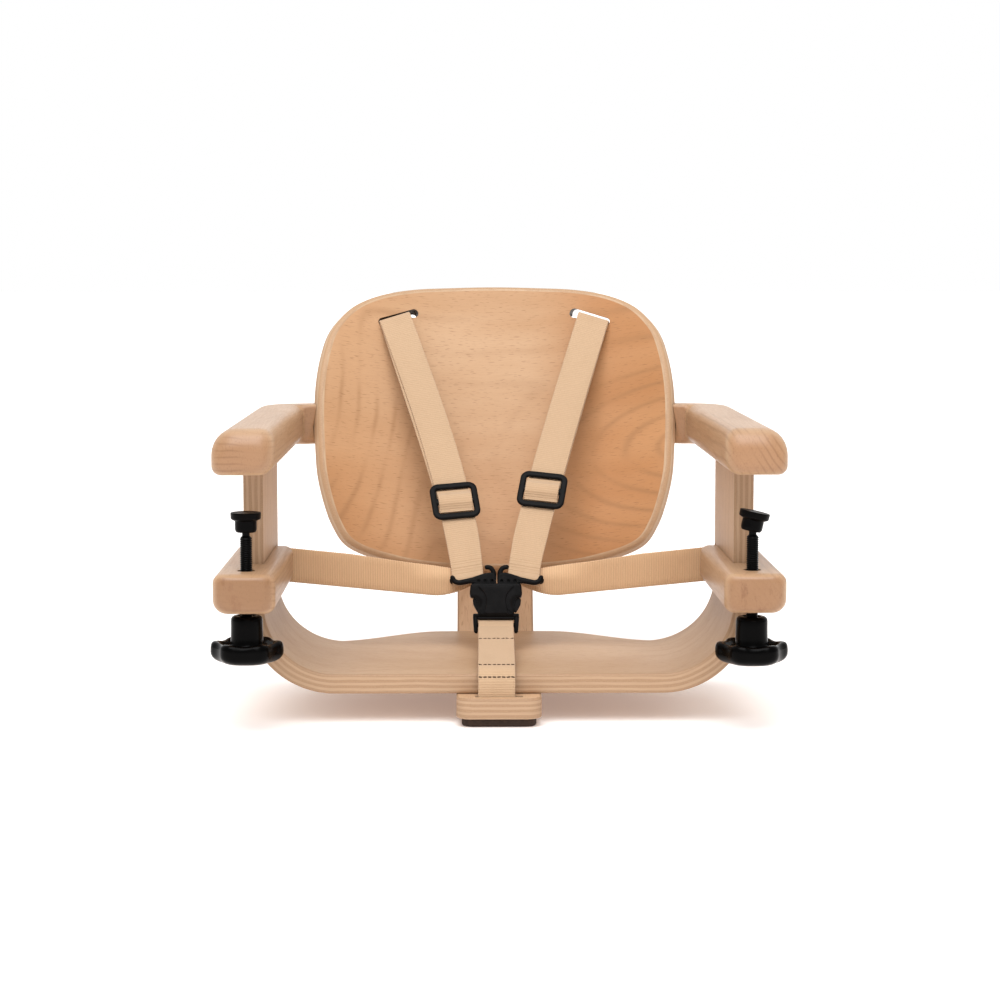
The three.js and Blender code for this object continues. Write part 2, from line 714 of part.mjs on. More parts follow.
const tailScrewUp = upAtHeight(upperArmMiddle, TAIL_SCREW_ACROSS, BACK_PLY + TAIL_SCREW_GRIP / 2);
const tailScrewHole = screwAt(
  "arm_tail_screw",
  onBack(TAIL_SCREW_ACROSS, tailScrewUp, BACK_PLY + TAIL_SCREW_GRIP),
  backFacing(TAIL_SCREW_ACROSS),
  TAIL_SCREW_GRIP + 0.5 * BACK_PLY,
);

const backrest = cut(
  backGeometry(),
  shoulderSlotTool(),
  mirrored(shoulderSlotTool()),
  tailScrewHole,
  mirrored(tailScrewHole),
  ...backScrewHoles,
);
piece("backrest", backrest, "plywood");

const tenonSpace = block(
  [SIDE_X - FIT, SHELL_FRONT_Y - FIT, UPPER_ARM_UNDERSIDE - TENON],
  [SIDE_X + PLY + FIT, SIDE_REAR_Y + FIT, SIDE_TOP + FIT],
);
const backSpace = backGeometry(FIT, 2 * ARM_TAIL_WIDTH);
pair("upper_arm", cut(upperArmBlank(), backSpace, tenonSpace, tailScrewHole), "beech");

// Lower arm: a fork that straddles the side panel and carries the clamp screw.
const lowerArmMiddle = LOWER_ARM_UNDERSIDE + LOWER_ARM_THICKNESS / 2;

/** The right lower arm before it is fitted. */
function lowerArmBlank() {
  const edge = Array(4).fill(LOWER_ARM_EDGE);
  const stations = [0, 0.08, 0.25, 0.56, 1].map((share) => share * LOWER_ARM_NOSE);
  const spots = [...stations, ...stations.map((d) => LOWER_ARM_LENGTH - d).reverse()];
  return loft(spots.map((y) => {
    const inset = drawIn(LOWER_ARM_NOSE, Math.min(y, LOWER_ARM_LENGTH - y));
    const outline = roundedOutline(ARM_WIDTH - 2 * inset, LOWER_ARM_THICKNESS - inset, edge, 3);
    return outline.map((point) => new THREE.Vector3(ARM_X + point.x, y, lowerArmMiddle + point.y));
  }));
}

const CROSS_SCREW_PLACES = [
  ["front", SHELL_FRONT_Y + CROSS_SCREW_INSET.front],
  ["rear", LOWER_ARM_LENGTH - CROSS_SCREW_INSET.rear],
];
const crossScrewHoles = CROSS_SCREW_PLACES.map(([place, y]) => screwAt(
  `lower_arm_screw_${place}`,
  new THREE.Vector3(ARM_X + ARM_WIDTH / 2, y, lowerArmMiddle),
  new THREE.Vector3(-1, 0, 0),
  CROSS_SCREW_LENGTH,
));
const forkSpace = block(
  [SIDE_X - FIT, SHELL_FRONT_Y - FIT, LOWER_ARM_UNDERSIDE - PLY],
  [SIDE_X + PLY + FIT, LOWER_ARM_LENGTH + PLY, LOWER_ARM_TOP + PLY],
);
const insertTop = LOWER_ARM_TOP - INSERT_RECESS;
const insertSpace = revolve([
  [0, LOWER_ARM_TOP + PLY],
  [INSERT_FLANGE_DIAMETER / 2 + FIT, LOWER_ARM_TOP + PLY],
  [INSERT_FLANGE_DIAMETER / 2 + FIT, insertTop - INSERT_FLANGE - FIT],
  [INSERT_DIAMETER / 2 + FIT, insertTop - INSERT_FLANGE - FIT],
  [INSERT_DIAMETER / 2 + FIT, LOWER_ARM_UNDERSIDE - PLY],
  [0, LOWER_ARM_UNDERSIDE - PLY],
]).translate(ARM_X, SCREW_Y, 0);
pair("lower_arm", cut(lowerArmBlank(), forkSpace, insertSpace, ...crossScrewHoles), "beech");

const screwClear = SCREW_DIAMETER / 2 + FIT;
const insert = revolve([
  [screwClear, insertTop],
  [INSERT_FLANGE_DIAMETER / 2, insertTop],
  [INSERT_FLANGE_DIAMETER / 2, insertTop - INSERT_FLANGE],
  [INSERT_DIAMETER / 2, insertTop - INSERT_FLANGE],
  [INSERT_DIAMETER / 2, insertTop - INSERT_LENGTH],
  [screwClear, insertTop - INSERT_LENGTH],
  [screwClear, insertTop],
]).translate(ARM_X, SCREW_Y, 0);
pair("thread_insert", insert, "blackSteel");

// Seat shell: one sheet, bent up at both sides, with its rear edge drawn out to a tongue.
const BEND_MIDDLE_RADIUS = SHELL_BEND_RADIUS + PLY / 2;
const FLAT_HALF = SIDE_X - SHELL_BEND_RADIUS;
const BEND_LENGTH = BEND_MIDDLE_RADIUS * (Math.PI / 2);
const SWEEP_END = FLAT_HALF + BEND_LENGTH + SIDE_SWEEP;

/** How far back the sheet reaches, at a distance from the middle along its own length. */
function sheetRear(distance) {
  const tongue = THREE.MathUtils.smoothstep(distance, SEAT_TONGUE_HALF, SEAT_TONGUE_END);
  const sweep = THREE.MathUtils.smoothstep(distance, SEAT_TONGUE_END, SWEEP_END);
  return SHELL_FRONT_Y + SEAT_CENTRE_DEPTH
    - (SEAT_CENTRE_DEPTH - SEAT_SIDE_DEPTH) * tongue
    - (SEAT_SIDE_DEPTH - SIDE_DEPTH) * sweep;
}

/** The middle of the sheet and its inner facing direction, at a distance from the middle. */
function sheetPlace(distance) {
  const side = Math.sign(distance) || 1;
  const reach = Math.abs(distance);
  if (reach <= FLAT_HALF) {
    return { x: distance, z: SEAT_TOP - PLY / 2, tilt: 0 };
  }
  const angle = Math.min((reach - FLAT_HALF) / BEND_MIDDLE_RADIUS, Math.PI / 2);
  const climb = Math.max(0, reach - FLAT_HALF - BEND_LENGTH);
  return {
    x: side * (FLAT_HALF + BEND_MIDDLE_RADIUS * Math.sin(angle)),
    z: SEAT_TOP + SHELL_BEND_RADIUS - BEND_MIDDLE_RADIUS * Math.cos(angle) + climb,
    tilt: side * angle,
  };
}

/** The bent sheet before its holes are made. */
function shellBlank() {
  const climb = SIDE_TOP - SEAT_TOP - SHELL_BEND_RADIUS;
  const total = FLAT_HALF + BEND_LENGTH + climb;
  const half = [];
  for (let k = 0; k <= 9; k += 1) {
    half.push((k / 9) * FLAT_HALF);
  }
  for (let k = 1; k <= 8; k += 1) {
    half.push(FLAT_HALF + (k / 8) * BEND_LENGTH);
  }
  half.push(SWEEP_END - SIDE_SWEEP / 2, SWEEP_END, total);
  const all = [...half.slice(1).reverse().map((distance) => -distance), ...half];
  return loft(all.map((distance) => {
    const { x, z, tilt } = sheetPlace(distance);
    const rear = sheetRear(Math.abs(distance));
    const section = roundedOutline(rear - SHELL_FRONT_Y, PLY, [PLY_EDGE, PLY_EDGE, PLY_EDGE, PLY_EDGE], 1);
    return section.map((point) => new THREE.Vector3(
      x - Math.sin(tilt) * point.y,
      (rear + SHELL_FRONT_Y) / 2 + point.x,
      z + Math.cos(tilt) * point.y,
    ));
  }));
}

const waistSlot = plate(stadium(WAIST_SLOT_LENGTH, WAIST_SLOT_WIDTH), 4 * PLY);
const waistSlotTool = placed(waistSlot, frame(
  new THREE.Vector3(0, 0, 1),
  new THREE.Vector3(0, 1, 0),
  new THREE.Vector3(-1, 0, 0),
  new THREE.Vector3(ARM_X, WAIST_SLOT_Y, WAIST_SLOT_HEIGHT),
));
const seatShell = cut(
  shellBlank(),
  stripGeometry(FIT),
  waistSlotTool,
  mirrored(waistSlotTool),
  ...seatScrewHoles,
  ...crossScrewHoles,
  ...crossScrewHoles.map(mirrored),
);
piece("seat_shell", seatShell, "plywood");

// Foot strip and back spine in one piece, with the crotch strap's slot and pin pocket.
const slotReach = WEB + 2 * FIT;
const crotchSlot = block(
  [-CROTCH_SLOT_LENGTH / 2, CROTCH_SLOT_Y - slotReach, FOOT_HEIGHT - PLY],
  [CROTCH_SLOT_LENGTH / 2, CROTCH_SLOT_Y + slotReach, STRIP_TOP + PLY],
);
const pinReach = CROTCH_PIN_DIAMETER / 2 + FIT + WEB + FIT;
const pinPocket = block(
  [-CROTCH_PIN_LENGTH / 2 - FIT, CROTCH_SLOT_Y - pinReach, FOOT_HEIGHT - PLY],
  [CROTCH_PIN_LENGTH / 2 + FIT, CROTCH_SLOT_Y + pinReach, CROTCH_PIN_HEIGHT + pinReach],
);
const backSpine = cut(stripGeometry(), crotchSlot, pinPocket, ...seatScrewHoles, ...backScrewHoles);
piece("back_spine", backSpine, "plywood");

const FOOT_PLACES = [
  ["front_foot", STRIP_FRONT_Y + FRONT_FOOT_SETBACK],
  ["rear_foot", BEND_START_Y - REAR_FOOT_SETBACK],
];
for (const [name, y] of FOOT_PLACES) {
  const outline = roundedOutline(FOOT_WIDTH, FOOT_LENGTH, Array(4).fill(FOOT_CORNER));
  const rings = [[0, 0.95], [1, 1], [FOOT_HEIGHT - FIT, 1]].map(([z, scale]) => (
    outline.map((point) => new THREE.Vector3(point.x * scale, y + point.y * scale, z))
  ));
  piece(name, loft(rings), "rubber");
}

// Clamp screws. Each stands in its own group at the height that its pad has.
const neckLength = PAD_BALL_HEIGHT - BALL_FLAT + NECK_SHOW;
const ballProfile = [];
for (let k = 0; k <= 8; k += 1) {
  const lowest = Math.acos(BALL_FLAT / BALL_RADIUS);
  const angle = (k / 8) * (Math.PI - lowest);
  ballProfile.push([BALL_RADIUS * Math.sin(angle), BALL_RADIUS * Math.cos(angle)]);
}
ballProfile.push([0, -BALL_FLAT]);
const socketRadius = BALL_RADIUS + FIT;
const socketProfile = [];
for (let k = 0; k <= 7; k += 1) {
  const angle = (k / 7) * SOCKET_WRAP;
  socketProfile.push([socketRadius * Math.sin(angle), socketRadius * Math.cos(angle)]);
}
const padTopZ = PAD_HEIGHT - PAD_BALL_HEIGHT;
const padProfile = [
  ...socketProfile,
  [socketRadius + PAD_EDGE / 6, -PAD_BALL_HEIGHT],
  [PAD_STEM_DIAMETER / 2 - PAD_EDGE, -PAD_BALL_HEIGHT],
  [PAD_STEM_DIAMETER / 2, -PAD_BALL_HEIGHT + PAD_EDGE],
  [PAD_STEM_DIAMETER / 2, padTopZ - PAD_FLANGE],
  [PAD_DIAMETER / 2 - PAD_EDGE, padTopZ - PAD_FLANGE],
  [PAD_DIAMETER / 2, padTopZ - PAD_FLANGE + PAD_EDGE],
  [PAD_DIAMETER / 2, padTopZ - PAD_EDGE],
  [PAD_DIAMETER / 2 - PAD_EDGE, padTopZ],
  [0, padTopZ],
];

/** The knob, with its bearing top at z = 0. */
function knobGeometry() {
  const rim = KNOB_RIM_HEIGHT;
  const levels = [
    [0, 0.6 * KNOB_RIM_RADIUS, 0.2],
    [0.13 * rim, 0.82 * KNOB_RIM_RADIUS, 0.6],
    [0.3 * rim, 0.955 * KNOB_RIM_RADIUS, 0.9],
    [0.5 * rim, KNOB_RIM_RADIUS, 1],
    [rim - 3.5, KNOB_RIM_RADIUS, 1],
    [rim - 1.4, KNOB_RIM_RADIUS - 1.4, 0.9],
    [rim - 0.4, KNOB_RIM_RADIUS - 4.2, 0.6],
    [rim, KNOB_HUB_RADIUS + 1.4, 0],
    [KNOB_HEIGHT - 2.2, KNOB_HUB_RADIUS, 0],
    [KNOB_HEIGHT, KNOB_HUB_RADIUS - 2.2, 0],
  ];
  const steps = 6 * KNOB_LOBES;
  const rings = levels.map(([z, radius, share]) => Array.from({ length: steps }, (_, k) => {
    const angle = (k / steps) * Math.PI * 2;
    const reach = radius + share * KNOB_LOBE * Math.cos(KNOB_LOBES * angle);
    return new THREE.Vector3(reach * Math.cos(angle), reach * Math.sin(angle), z - KNOB_HEIGHT);
  }));
  const bore = rod(SCREW_DIAMETER / 2 + FIT, KNOB_HEIGHT).translate(0, 0, -KNOB_BORE_DEPTH);
  return cut(loft(rings), bore);
}

const clampSides = [["left", leftSide, 0], ["right", rightSide, RIGHT_PAD_TILT]];
for (const [side, group, tilt] of clampSides) {
  const ballHeight = LOWER_ARM_TOP + PAD_REACH[side] - padTopZ;
  const knobTop = LOWER_ARM_UNDERSIDE - KNOB_GAP[side];
  const column = new THREE.Group();
  column.position.set(ARM_X, SCREW_Y, 0);
  group.add(column);
  const ball = piece(`${side}_swivel_ball`, revolve(ballProfile, 16), "blackSteel", column);
  ball.position.z = ballHeight;
  const pad = piece(`${side}_swivel_pad`, revolve(padProfile), "blackPlastic", column);
  pad.position.z = ballHeight;
  pad.rotation.y = tilt;
  const neckTop = ballHeight - BALL_FLAT - FIT;
  const foot = knobTop - KNOB_BORE_DEPTH + FIT;
  const shaft = revolve([
    [0, foot],
    [SCREW_DIAMETER / 2, foot],
    [SCREW_DIAMETER / 2, neckTop - neckLength],
    [SCREW_NECK_DIAMETER / 2, neckTop - neckLength + 1],
    [SCREW_NECK_DIAMETER / 2, neckTop],
    [0, neckTop],
  ], 16);
  piece(`${side}_clamp_screw`, shaft, "blackSteel", column);
  const knob = piece(`${side}_knob`, knobGeometry(), "blackPlastic", column);
  knob.position.z = knobTop;
}

// Harness: shoulder straps, each an eye on its hook rod, one layer to the slider, two from there on.
const SLIDER_MIDDLE = Math.min(SLIDER_PLACE.left, SLIDER_PLACE.right);
const singleLayer = block(
  [EYE_INNER, 0, -WEB_WIDTH / 2],
  [SLIDER_MIDDLE + WEB, WEB, WEB_WIDTH / 2],
);
const doubledPath = [new THREE.Vector2(SLIDER_MIDDLE, 0), strapCorner, keeperMiddle];
const shoulderStrap = cut(
  join(
    eye(new THREE.Vector2(0, 0), EYE_INNER, EYE_OUTER, WEB_WIDTH),
    singleLayer,
    plate(band(doubledPath, STRAP_BEND, 2 * WEB), WEB_WIDTH),
    eye(keeperMiddle, KEEPER_EYE, KEEPER_EYE + WEB, WEB_WIDTH),
  ),
  rod(EYE_INNER, 2 * WEB_WIDTH).translate(0, 0, -WEB_WIDTH),
  rod(KEEPER_EYE, 2 * WEB_WIDTH).translate(keeperMiddle.x, keeperMiddle.y, -WEB_WIDTH),
);
pair("shoulder_strap", placed(shoulderStrap, strapPlace), "webbing");
const keeper = rod(KEEPER_DIAMETER / 2, KEEPER_LENGTH)
  .translate(keeperMiddle.x, keeperMiddle.y, -KEEPER_LENGTH / 2);
pair("shoulder_keeper", placed(keeper, strapPlace), "blackPlastic");

// Strap sliders: a frame with a middle bar, and the hump of webbing that passes over the bar.
const windowReach = SLIDER_LENGTH / 2 - SLIDER_BAR;
const windowSide = SLIDER_WIDTH / 2 - SLIDER_BAR;
const windows = [[-windowReach, -SLIDER_BAR / 2], [SLIDER_BAR / 2, windowReach]].map(([low, high]) => (
  block([low, -windowSide, -SLIDER_THICKNESS], [high, windowSide, SLIDER_THICKNESS])
));
const frameOutline = new THREE.Shape(roundedOutline(SLIDER_LENGTH, SLIDER_WIDTH, Array(4).fill(SLIDER_CORNER)));
const sliderFrame = cut(plate(frameOutline, SLIDER_THICKNESS), ...windows);
const humpBase = FIT;
const humpInner = FIT + SLIDER_THICKNESS + FIT;
const humpReach = windowReach - FIT;
const hump = plate([
  [-humpReach, humpBase],
  [-humpReach + WEB, humpBase],
  [-SLIDER_BAR / 2 - FIT, humpInner],
  [SLIDER_BAR / 2 + FIT, humpInner],
  [humpReach - WEB, humpBase],
  [humpReach, humpBase],
  [SLIDER_BAR / 2 + FIT + 0.8, humpInner + WEB],
  [-SLIDER_BAR / 2 - FIT - 0.8, humpInner + WEB],
], WEB_WIDTH);
for (const [side, group] of [["left", leftSide], ["right", rightSide]]) {
  const carrier = new THREE.Group();
  carrier.applyMatrix4(strapPlace);
  group.add(carrier);
  const slider = piece(`${side}_slider`, sliderFrame.clone().rotateX(Math.PI / 2), "blackPlastic", carrier);
  slider.position.set(SLIDER_PLACE[side], WEB + FIT + SLIDER_THICKNESS / 2, 0);
  const loop = piece(`${side}_slider_loop`, hump.clone(), "webbing", carrier);
  loop.position.set(SLIDER_PLACE[side], WEB, 0);
}

// Waist straps: flat from behind the hook rod, out through the side panel to a pin.
const pinEye = WAIST_PIN_DIAMETER / 2 + FIT;
const waistPinX = SIDE_X + PLY + FIT + pinEye + WEB;
const halfWeb = WEB_WIDTH / 2;
const waistInnerX = hook.x - WAIST_END / 2;
const waistFullX = hook.x + WAIST_TAPER;
const waistInnerY = hook.y + EYE_OUTER + WEB / 2 + WAIST_ROOM;
const waistOutline = [
  [waistInnerX, hook.z + WAIST_END / 4],
  [waistFullX, hook.z + WAIST_END / 3],
  [waistFullX + WAIST_END / 3, hook.z - WAIST_DROP + halfWeb],
  [SIDE_X, WAIST_SLOT_HEIGHT + halfWeb],
  [waistPinX, WAIST_SLOT_HEIGHT + halfWeb],
  [waistPinX, WAIST_SLOT_HEIGHT - halfWeb],
  [SIDE_X, WAIST_SLOT_HEIGHT - halfWeb],
  [waistFullX, hook.z - WAIST_DROP - halfWeb],
  [waistInnerX, hook.z - WAIST_END / 4],
];
const standing = new THREE.Matrix4().makeRotationX(Math.PI / 2);
const waistFront = placed(plate(waistOutline, 2 * SIDE_DEPTH), standing).translate(0, WAIST_SLOT_Y, 0);
const waistPlan = plate(band([
  new THREE.Vector2(waistInnerX - WEB, waistInnerY),
  new THREE.Vector2(waistFullX, waistInnerY),
  new THREE.Vector2(SIDE_X - PLY / 2, WAIST_SLOT_Y),
  new THREE.Vector2(waistPinX, WAIST_SLOT_Y),
], WAIST_BEND, WEB), 4 * WEB_WIDTH).translate(0, 0, WAIST_SLOT_HEIGHT);
const waistEye = eye(new THREE.Vector2(waistPinX, WAIST_SLOT_Y), pinEye, pinEye + WEB, WEB_WIDTH)
  .translate(0, 0, WAIST_SLOT_HEIGHT);
const waistPinSpace = rod(pinEye, 2 * WEB_WIDTH)
  .translate(waistPinX, WAIST_SLOT_Y, WAIST_SLOT_HEIGHT - WEB_WIDTH);
const waistStrap = cut(join(common(waistFront, waistPlan), waistEye), waistPinSpace);
pair("waist_strap", waistStrap, "webbing");
const waistPin = rod(WAIST_PIN_DIAMETER / 2, WAIST_PIN_LENGTH)
  .translate(waistPinX, WAIST_SLOT_Y, WAIST_SLOT_HEIGHT - WAIST_PIN_LENGTH / 2);
pair("waist_keeper", waistPin, "blackPlastic");

// Crotch strap: doubled webbing from the buckle's lower bar, over the seat edge, to its pin.
const lowerBarLocal = new THREE.Vector3(0, -LEG_BAR_DROP, 0);
const lowerBar = lowerBarLocal.clone().applyMatrix4(bucklePlace);
const crotchPath = [
  new THREE.Vector2(lowerBar.y, lowerBar.z),
  new THREE.Vector2(CROTCH_SLOT_Y, CROTCH_CREST),
  new THREE.Vector2(CROTCH_SLOT_Y, CROTCH_PIN_HEIGHT),
];
const crotchEye = CROTCH_PIN_DIAMETER / 2 + FIT;
const sideView = frame(
  new THREE.Vector3(0, 1, 0),
  new THREE.Vector3(0, 0, 1),
  new THREE.Vector3(1, 0, 0),
  new THREE.Vector3(),
);
const crotchStrap = cut(
  join(
    plate(band(crotchPath, CROTCH_BEND, 2 * WEB), WEB_WIDTH),
    eye(crotchPath[0], EYE_INNER, EYE_OUTER, WEB_WIDTH),
    eye(crotchPath[2], crotchEye, crotchEye + WEB, WEB_WIDTH),
  ),
  rod(EYE_INNER, 2 * WEB_WIDTH).translate(crotchPath[0].x, crotchPath[0].y, -WEB_WIDTH),
  rod(crotchEye, 2 * WEB_WIDTH).translate(crotchPath[2].x, crotchPath[2].y, -WEB_WIDTH),
);
piece("crotch_strap", placed(crotchStrap, sideView), "webbing");
const crotchPin = rod(CROTCH_PIN_DIAMETER / 2, CROTCH_PIN_LENGTH)
  .translate(CROTCH_SLOT_Y, CROTCH_PIN_HEIGHT, -CROTCH_PIN_LENGTH / 2);
piece("crotch_pin", placed(crotchPin, sideView), "steel");

// Buckle body: a hollow case, waisted below, with two legs and the crotch strap's bar.
const onCase = ([x, y]) => [x * BUCKLE_HALF_WIDTH, y * BUCKLE_BODY_HEIGHT];
const caseHalf = [
  [0, 0],
  [0.7, 0],
  [0.62, 0.13],
  [0.56, 0.283],
  [0.59, 0.435],
  [0.73, 0.548],
  [1, 0.583],
  [1.015, 0.717],
  [0.975, 1],
  [0, 1],
].map(onCase);
const caseOutline = [...caseHalf, ...caseHalf.slice(1, -1).reverse().map(([x, y]) => [-x, y])];
const cavityHalf = BUCKLE_HALF_WIDTH - BUCKLE_SIDE_WALL;
const cavity = block(
  [-cavityHalf, BUCKLE_FLOOR, -BUCKLE_CAVITY / 2],
  [cavityHalf, 2 * BUCKLE_BODY_HEIGHT, BUCKLE_CAVITY / 2],
);
const [, sideGapTop] = onCase([1, 0.565]);
const sideGap = block(
  [-2 * BUCKLE_HALF_WIDTH, 2 * FIT, -BUCKLE_CAVITY / 2],
  [2 * BUCKLE_HALF_WIDTH, sideGapTop, BUCKLE_CAVITY / 2],
);
const [floorHalf] = onCase([0.58, 0]);
const lowerWall = block(
  [-floorHalf, 0, -BUCKLE_THICKNESS / 2],
  [floorHalf, BUCKLE_FLOOR, BUCKLE_THICKNESS / 2],
);
const legInner = WEB_WIDTH / 2 + LEG_CLEAR;
const legOuter = legInner + LEG_WIDTH;
const legs = [-legOuter, legInner].map((left) => block(
  [left, -LEG_LENGTH, -LEG_THICKNESS / 2],
  [left + LEG_WIDTH, 2 * FIT, LEG_THICKNESS / 2],
));
const shoulder = block(
  [-legOuter, -BUCKLE_SHOULDER / 3, -BUCKLE_THICKNESS / 3],
  [legOuter, BUCKLE_SHOULDER, BUCKLE_THICKNESS / 3],
);
const lowerRod = placed(rod(STRAP_ROD_DIAMETER / 2, 2 * legInner + LEG_WIDTH), frame(
  new THREE.Vector3(0, 1, 0),
  new THREE.Vector3(0, 0, 1),
  acrossAxis,
  new THREE.Vector3(-legInner - LEG_WIDTH / 2, -LEG_BAR_DROP, 0),
));
const buckleBody = join(
  cut(plate(caseOutline, BUCKLE_THICKNESS), cavity, sideGap),
  lowerWall,
  shoulder,
  ...legs,
  lowerRod,
);
piece("buckle_body", placed(buckleBody, bucklePlace), "blackPlastic");

// Hook tongues: a plate with a hook at each end and a strap rod behind it.
const plugTop = BUCKLE_BODY_HEIGHT;
const plugFoot = plugTop - TONGUE_ENTRY;
const plugHalf = cavityHalf - FIT;
const hookStart = HOOK_ACROSS - WEB_WIDTH / 2;
const hookEnd = HOOK_ACROSS + WEB_WIDTH / 2;
const tongueRow = (x, rows) => rows.map(([across, up]) => [
  x + across * WEB_WIDTH,
  plugTop + up * TONGUE_HEIGHT,
]);
const tongueOutline = [
  [TONGUE_GAP, plugFoot],
  [plugHalf, plugFoot],
  [plugHalf, plugTop + FIT],
  ...tongueRow(HOOK_ACROSS, [[-0.06, 0.057], [0.18, -0.03]]),
  ...tongueRow(hookEnd, [
    [-0.12, -0.057],
    [0.04, 0.071],
    [0.104, 0.357],
    [0.072, 0.5],
    [-0.016, 0.464],
    [-0.04, 0.286],
    [-0.14, 0.186],
  ]),
  ...tongueRow(HOOK_ACROSS, [[0.1, 0.271], [-0.22, 0.43]]),
  ...tongueRow(hookStart, [
    [0.1, 0.53],
    [-0.072, 0.6],
    [-0.096, 0.714],
    [-0.04, 0.786],
    [0.08, 0.743],
    [0.096, 0.93],
    [-0.04, 1],
    [-0.2, 0.943],
    [-0.28, 0.714],
  ]),
  [TONGUE_GAP, plugTop + TONGUE_HEIGHT / 3],
];
const holeTop = plugTop + TONGUE_HOLE + 1;
const tongueHoles = [0.23, 0.49, 0.74].map((share) => block(
  [share * BUCKLE_HALF_WIDTH - 0.75 * TONGUE_HOLE, plugTop + 1, -TONGUE_THICKNESS],
  [share * BUCKLE_HALF_WIDTH + 0.75 * TONGUE_HOLE, holeTop, TONGUE_THICKNESS],
));
const lugFacing = buckleFacing.clone()
  .addScaledVector(strapAcross, -buckleFacing.dot(strapAcross))
  .normalize();
const lugPlace = frame(lugFacing.clone().cross(strapAcross), lugFacing, strapAcross, hook);
const hookRod = rod(STRAP_ROD_DIAMETER / 2, WEB_WIDTH + 2 * LUG).translate(0, 0, -WEB_WIDTH / 2 - LUG);
const lugInner = WEB_WIDTH / 2 + FIT;
const lugHalf = STRAP_ROD_DIAMETER / 2 + LUG_MARGIN;
const lugs = [-lugInner - LUG, lugInner].map((start) => block(
  [-lugHalf, -lugHalf, start],
  [lugHalf, -HOOK_DEPTH, start + LUG],
));
const tongue = join(
  placed(cut(plate(tongueOutline, TONGUE_THICKNESS), ...tongueHoles), bucklePlace),
  placed(hookRod, strapPlace),
  ...lugs.map((lug) => placed(lug, lugPlace)),
);
pair("hook_tongue", tongue, "blackPlastic");

// Latch prongs: sprung arms inside the case, whose pads show in its waist.
const prongTop = plugFoot - FIT;
const prongOutline = [
  [0.64 * BUCKLE_HALF_WIDTH, prongTop],
  [0.82 * BUCKLE_HALF_WIDTH, prongTop],
  ...[
    [0.83, 0.574],
    [0.98, 0.53],
    [0.95, 0.339],
    [0.77, 0.087],
    [0.63, 0.191],
    [0.6, 0.348],
    [0.64, 0.565],
  ].map(onCase),
];
const prong = plate(prongOutline, BUCKLE_CAVITY - 2 * FIT);
pair("latch_prong", placed(prong, bucklePlace), "blackPlastic");

for (const { name, geometry } of screws) {
  if (name.startsWith("seat") || name.startsWith("back")) {
    piece(name, geometry, "steel");
  } else {
    pair(name, geometry, "steel");
  }
}

// The origin lies on the floor, under the middle of the whole chair.
const extent = new THREE.Box3().setFromObject(chair, true);
const middle = extent.getCenter(new THREE.Vector3());
assembly.position.set(-middle.x, -middle.y, -extent.min.z);

export default chair;
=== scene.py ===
"""Looks of a hook-on child seat: moulded plywood, beech arms, screw clamps and a webbing harness.

Sizes are in millimetres, with x to the viewer's right, y counted back from the front of the arms and z up
from the floor. Each mesh is moved into the chair's own frame, in metres, when it is made.
"""

import json
import logging
import math
from collections.abc import Callable, Sequence
from dataclasses import dataclass, field
from enum import Enum

import bmesh
import bpy
import numpy as np
import numpy.typing as npt
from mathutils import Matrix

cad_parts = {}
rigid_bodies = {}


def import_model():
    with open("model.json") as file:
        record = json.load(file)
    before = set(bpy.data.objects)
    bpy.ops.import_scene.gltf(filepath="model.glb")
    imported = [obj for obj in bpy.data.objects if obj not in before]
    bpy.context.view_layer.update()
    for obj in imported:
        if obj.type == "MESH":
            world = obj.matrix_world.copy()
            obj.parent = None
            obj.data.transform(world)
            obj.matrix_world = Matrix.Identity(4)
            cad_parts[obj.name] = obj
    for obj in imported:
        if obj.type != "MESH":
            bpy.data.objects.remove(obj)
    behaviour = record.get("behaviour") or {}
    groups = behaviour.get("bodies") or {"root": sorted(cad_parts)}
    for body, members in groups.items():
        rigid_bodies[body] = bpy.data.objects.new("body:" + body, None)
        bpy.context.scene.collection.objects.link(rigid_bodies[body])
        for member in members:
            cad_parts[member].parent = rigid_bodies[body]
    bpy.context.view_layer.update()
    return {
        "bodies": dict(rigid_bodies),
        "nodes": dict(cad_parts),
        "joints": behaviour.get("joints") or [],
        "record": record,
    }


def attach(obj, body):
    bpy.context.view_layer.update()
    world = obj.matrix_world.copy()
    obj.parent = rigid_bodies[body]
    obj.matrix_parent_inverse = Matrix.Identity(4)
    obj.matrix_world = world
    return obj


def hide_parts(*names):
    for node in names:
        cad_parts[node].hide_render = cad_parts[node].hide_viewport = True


Array = npt.NDArray[np.float64]
Colour = tuple[float, float, float]
Bend = Callable[[Array, Array, Array | float], Array]
Socket = bpy.types.NodeSocket

LOG = logging.getLogger("chair")
ARM_FRONT_Y = -182.02045
METRE = 0.001
TURN = 2.0 * math.pi
LAY = "lay"
FIT = 0.3
RIB_PITCH = 1.7
ARM_X = 165.0
ARM_WIDTH = 40.6
CLAMP_Y = 24.2
SLOT_SLOPE = 0.19
SLOT_STAND_OFF = 3.5
FIXING_LENGTH = 20.0
WOOD_CREASE = 50.0
WEB_CREASE = 60.0


class Side(Enum):
    """The two sides of the chair, as the viewer sees them."""

    LEFT = "left"
    RIGHT = "right"

    @property
    def sign(self) -> float:
        """Minus one on the left, one on the right."""
        return -1.0 if self is Side.LEFT else 1.0

    def name_of(self, piece: str) -> str:
        """The full name of a piece on this side."""
        return f"{self.value}_{piece}"


class Slot(Enum):
    """Finishes that the chair's record names."""

    BEECH = "beech"
    PLYWOOD = "plywood"
    WEBBING = "webbing"
    KNOB = "knob_plastic"
    MOULDED = "black_plastic"
    BLACK_STEEL = "black_steel"
    ZINC = "zinc_steel"
    RUBBER = "foot_rubber"


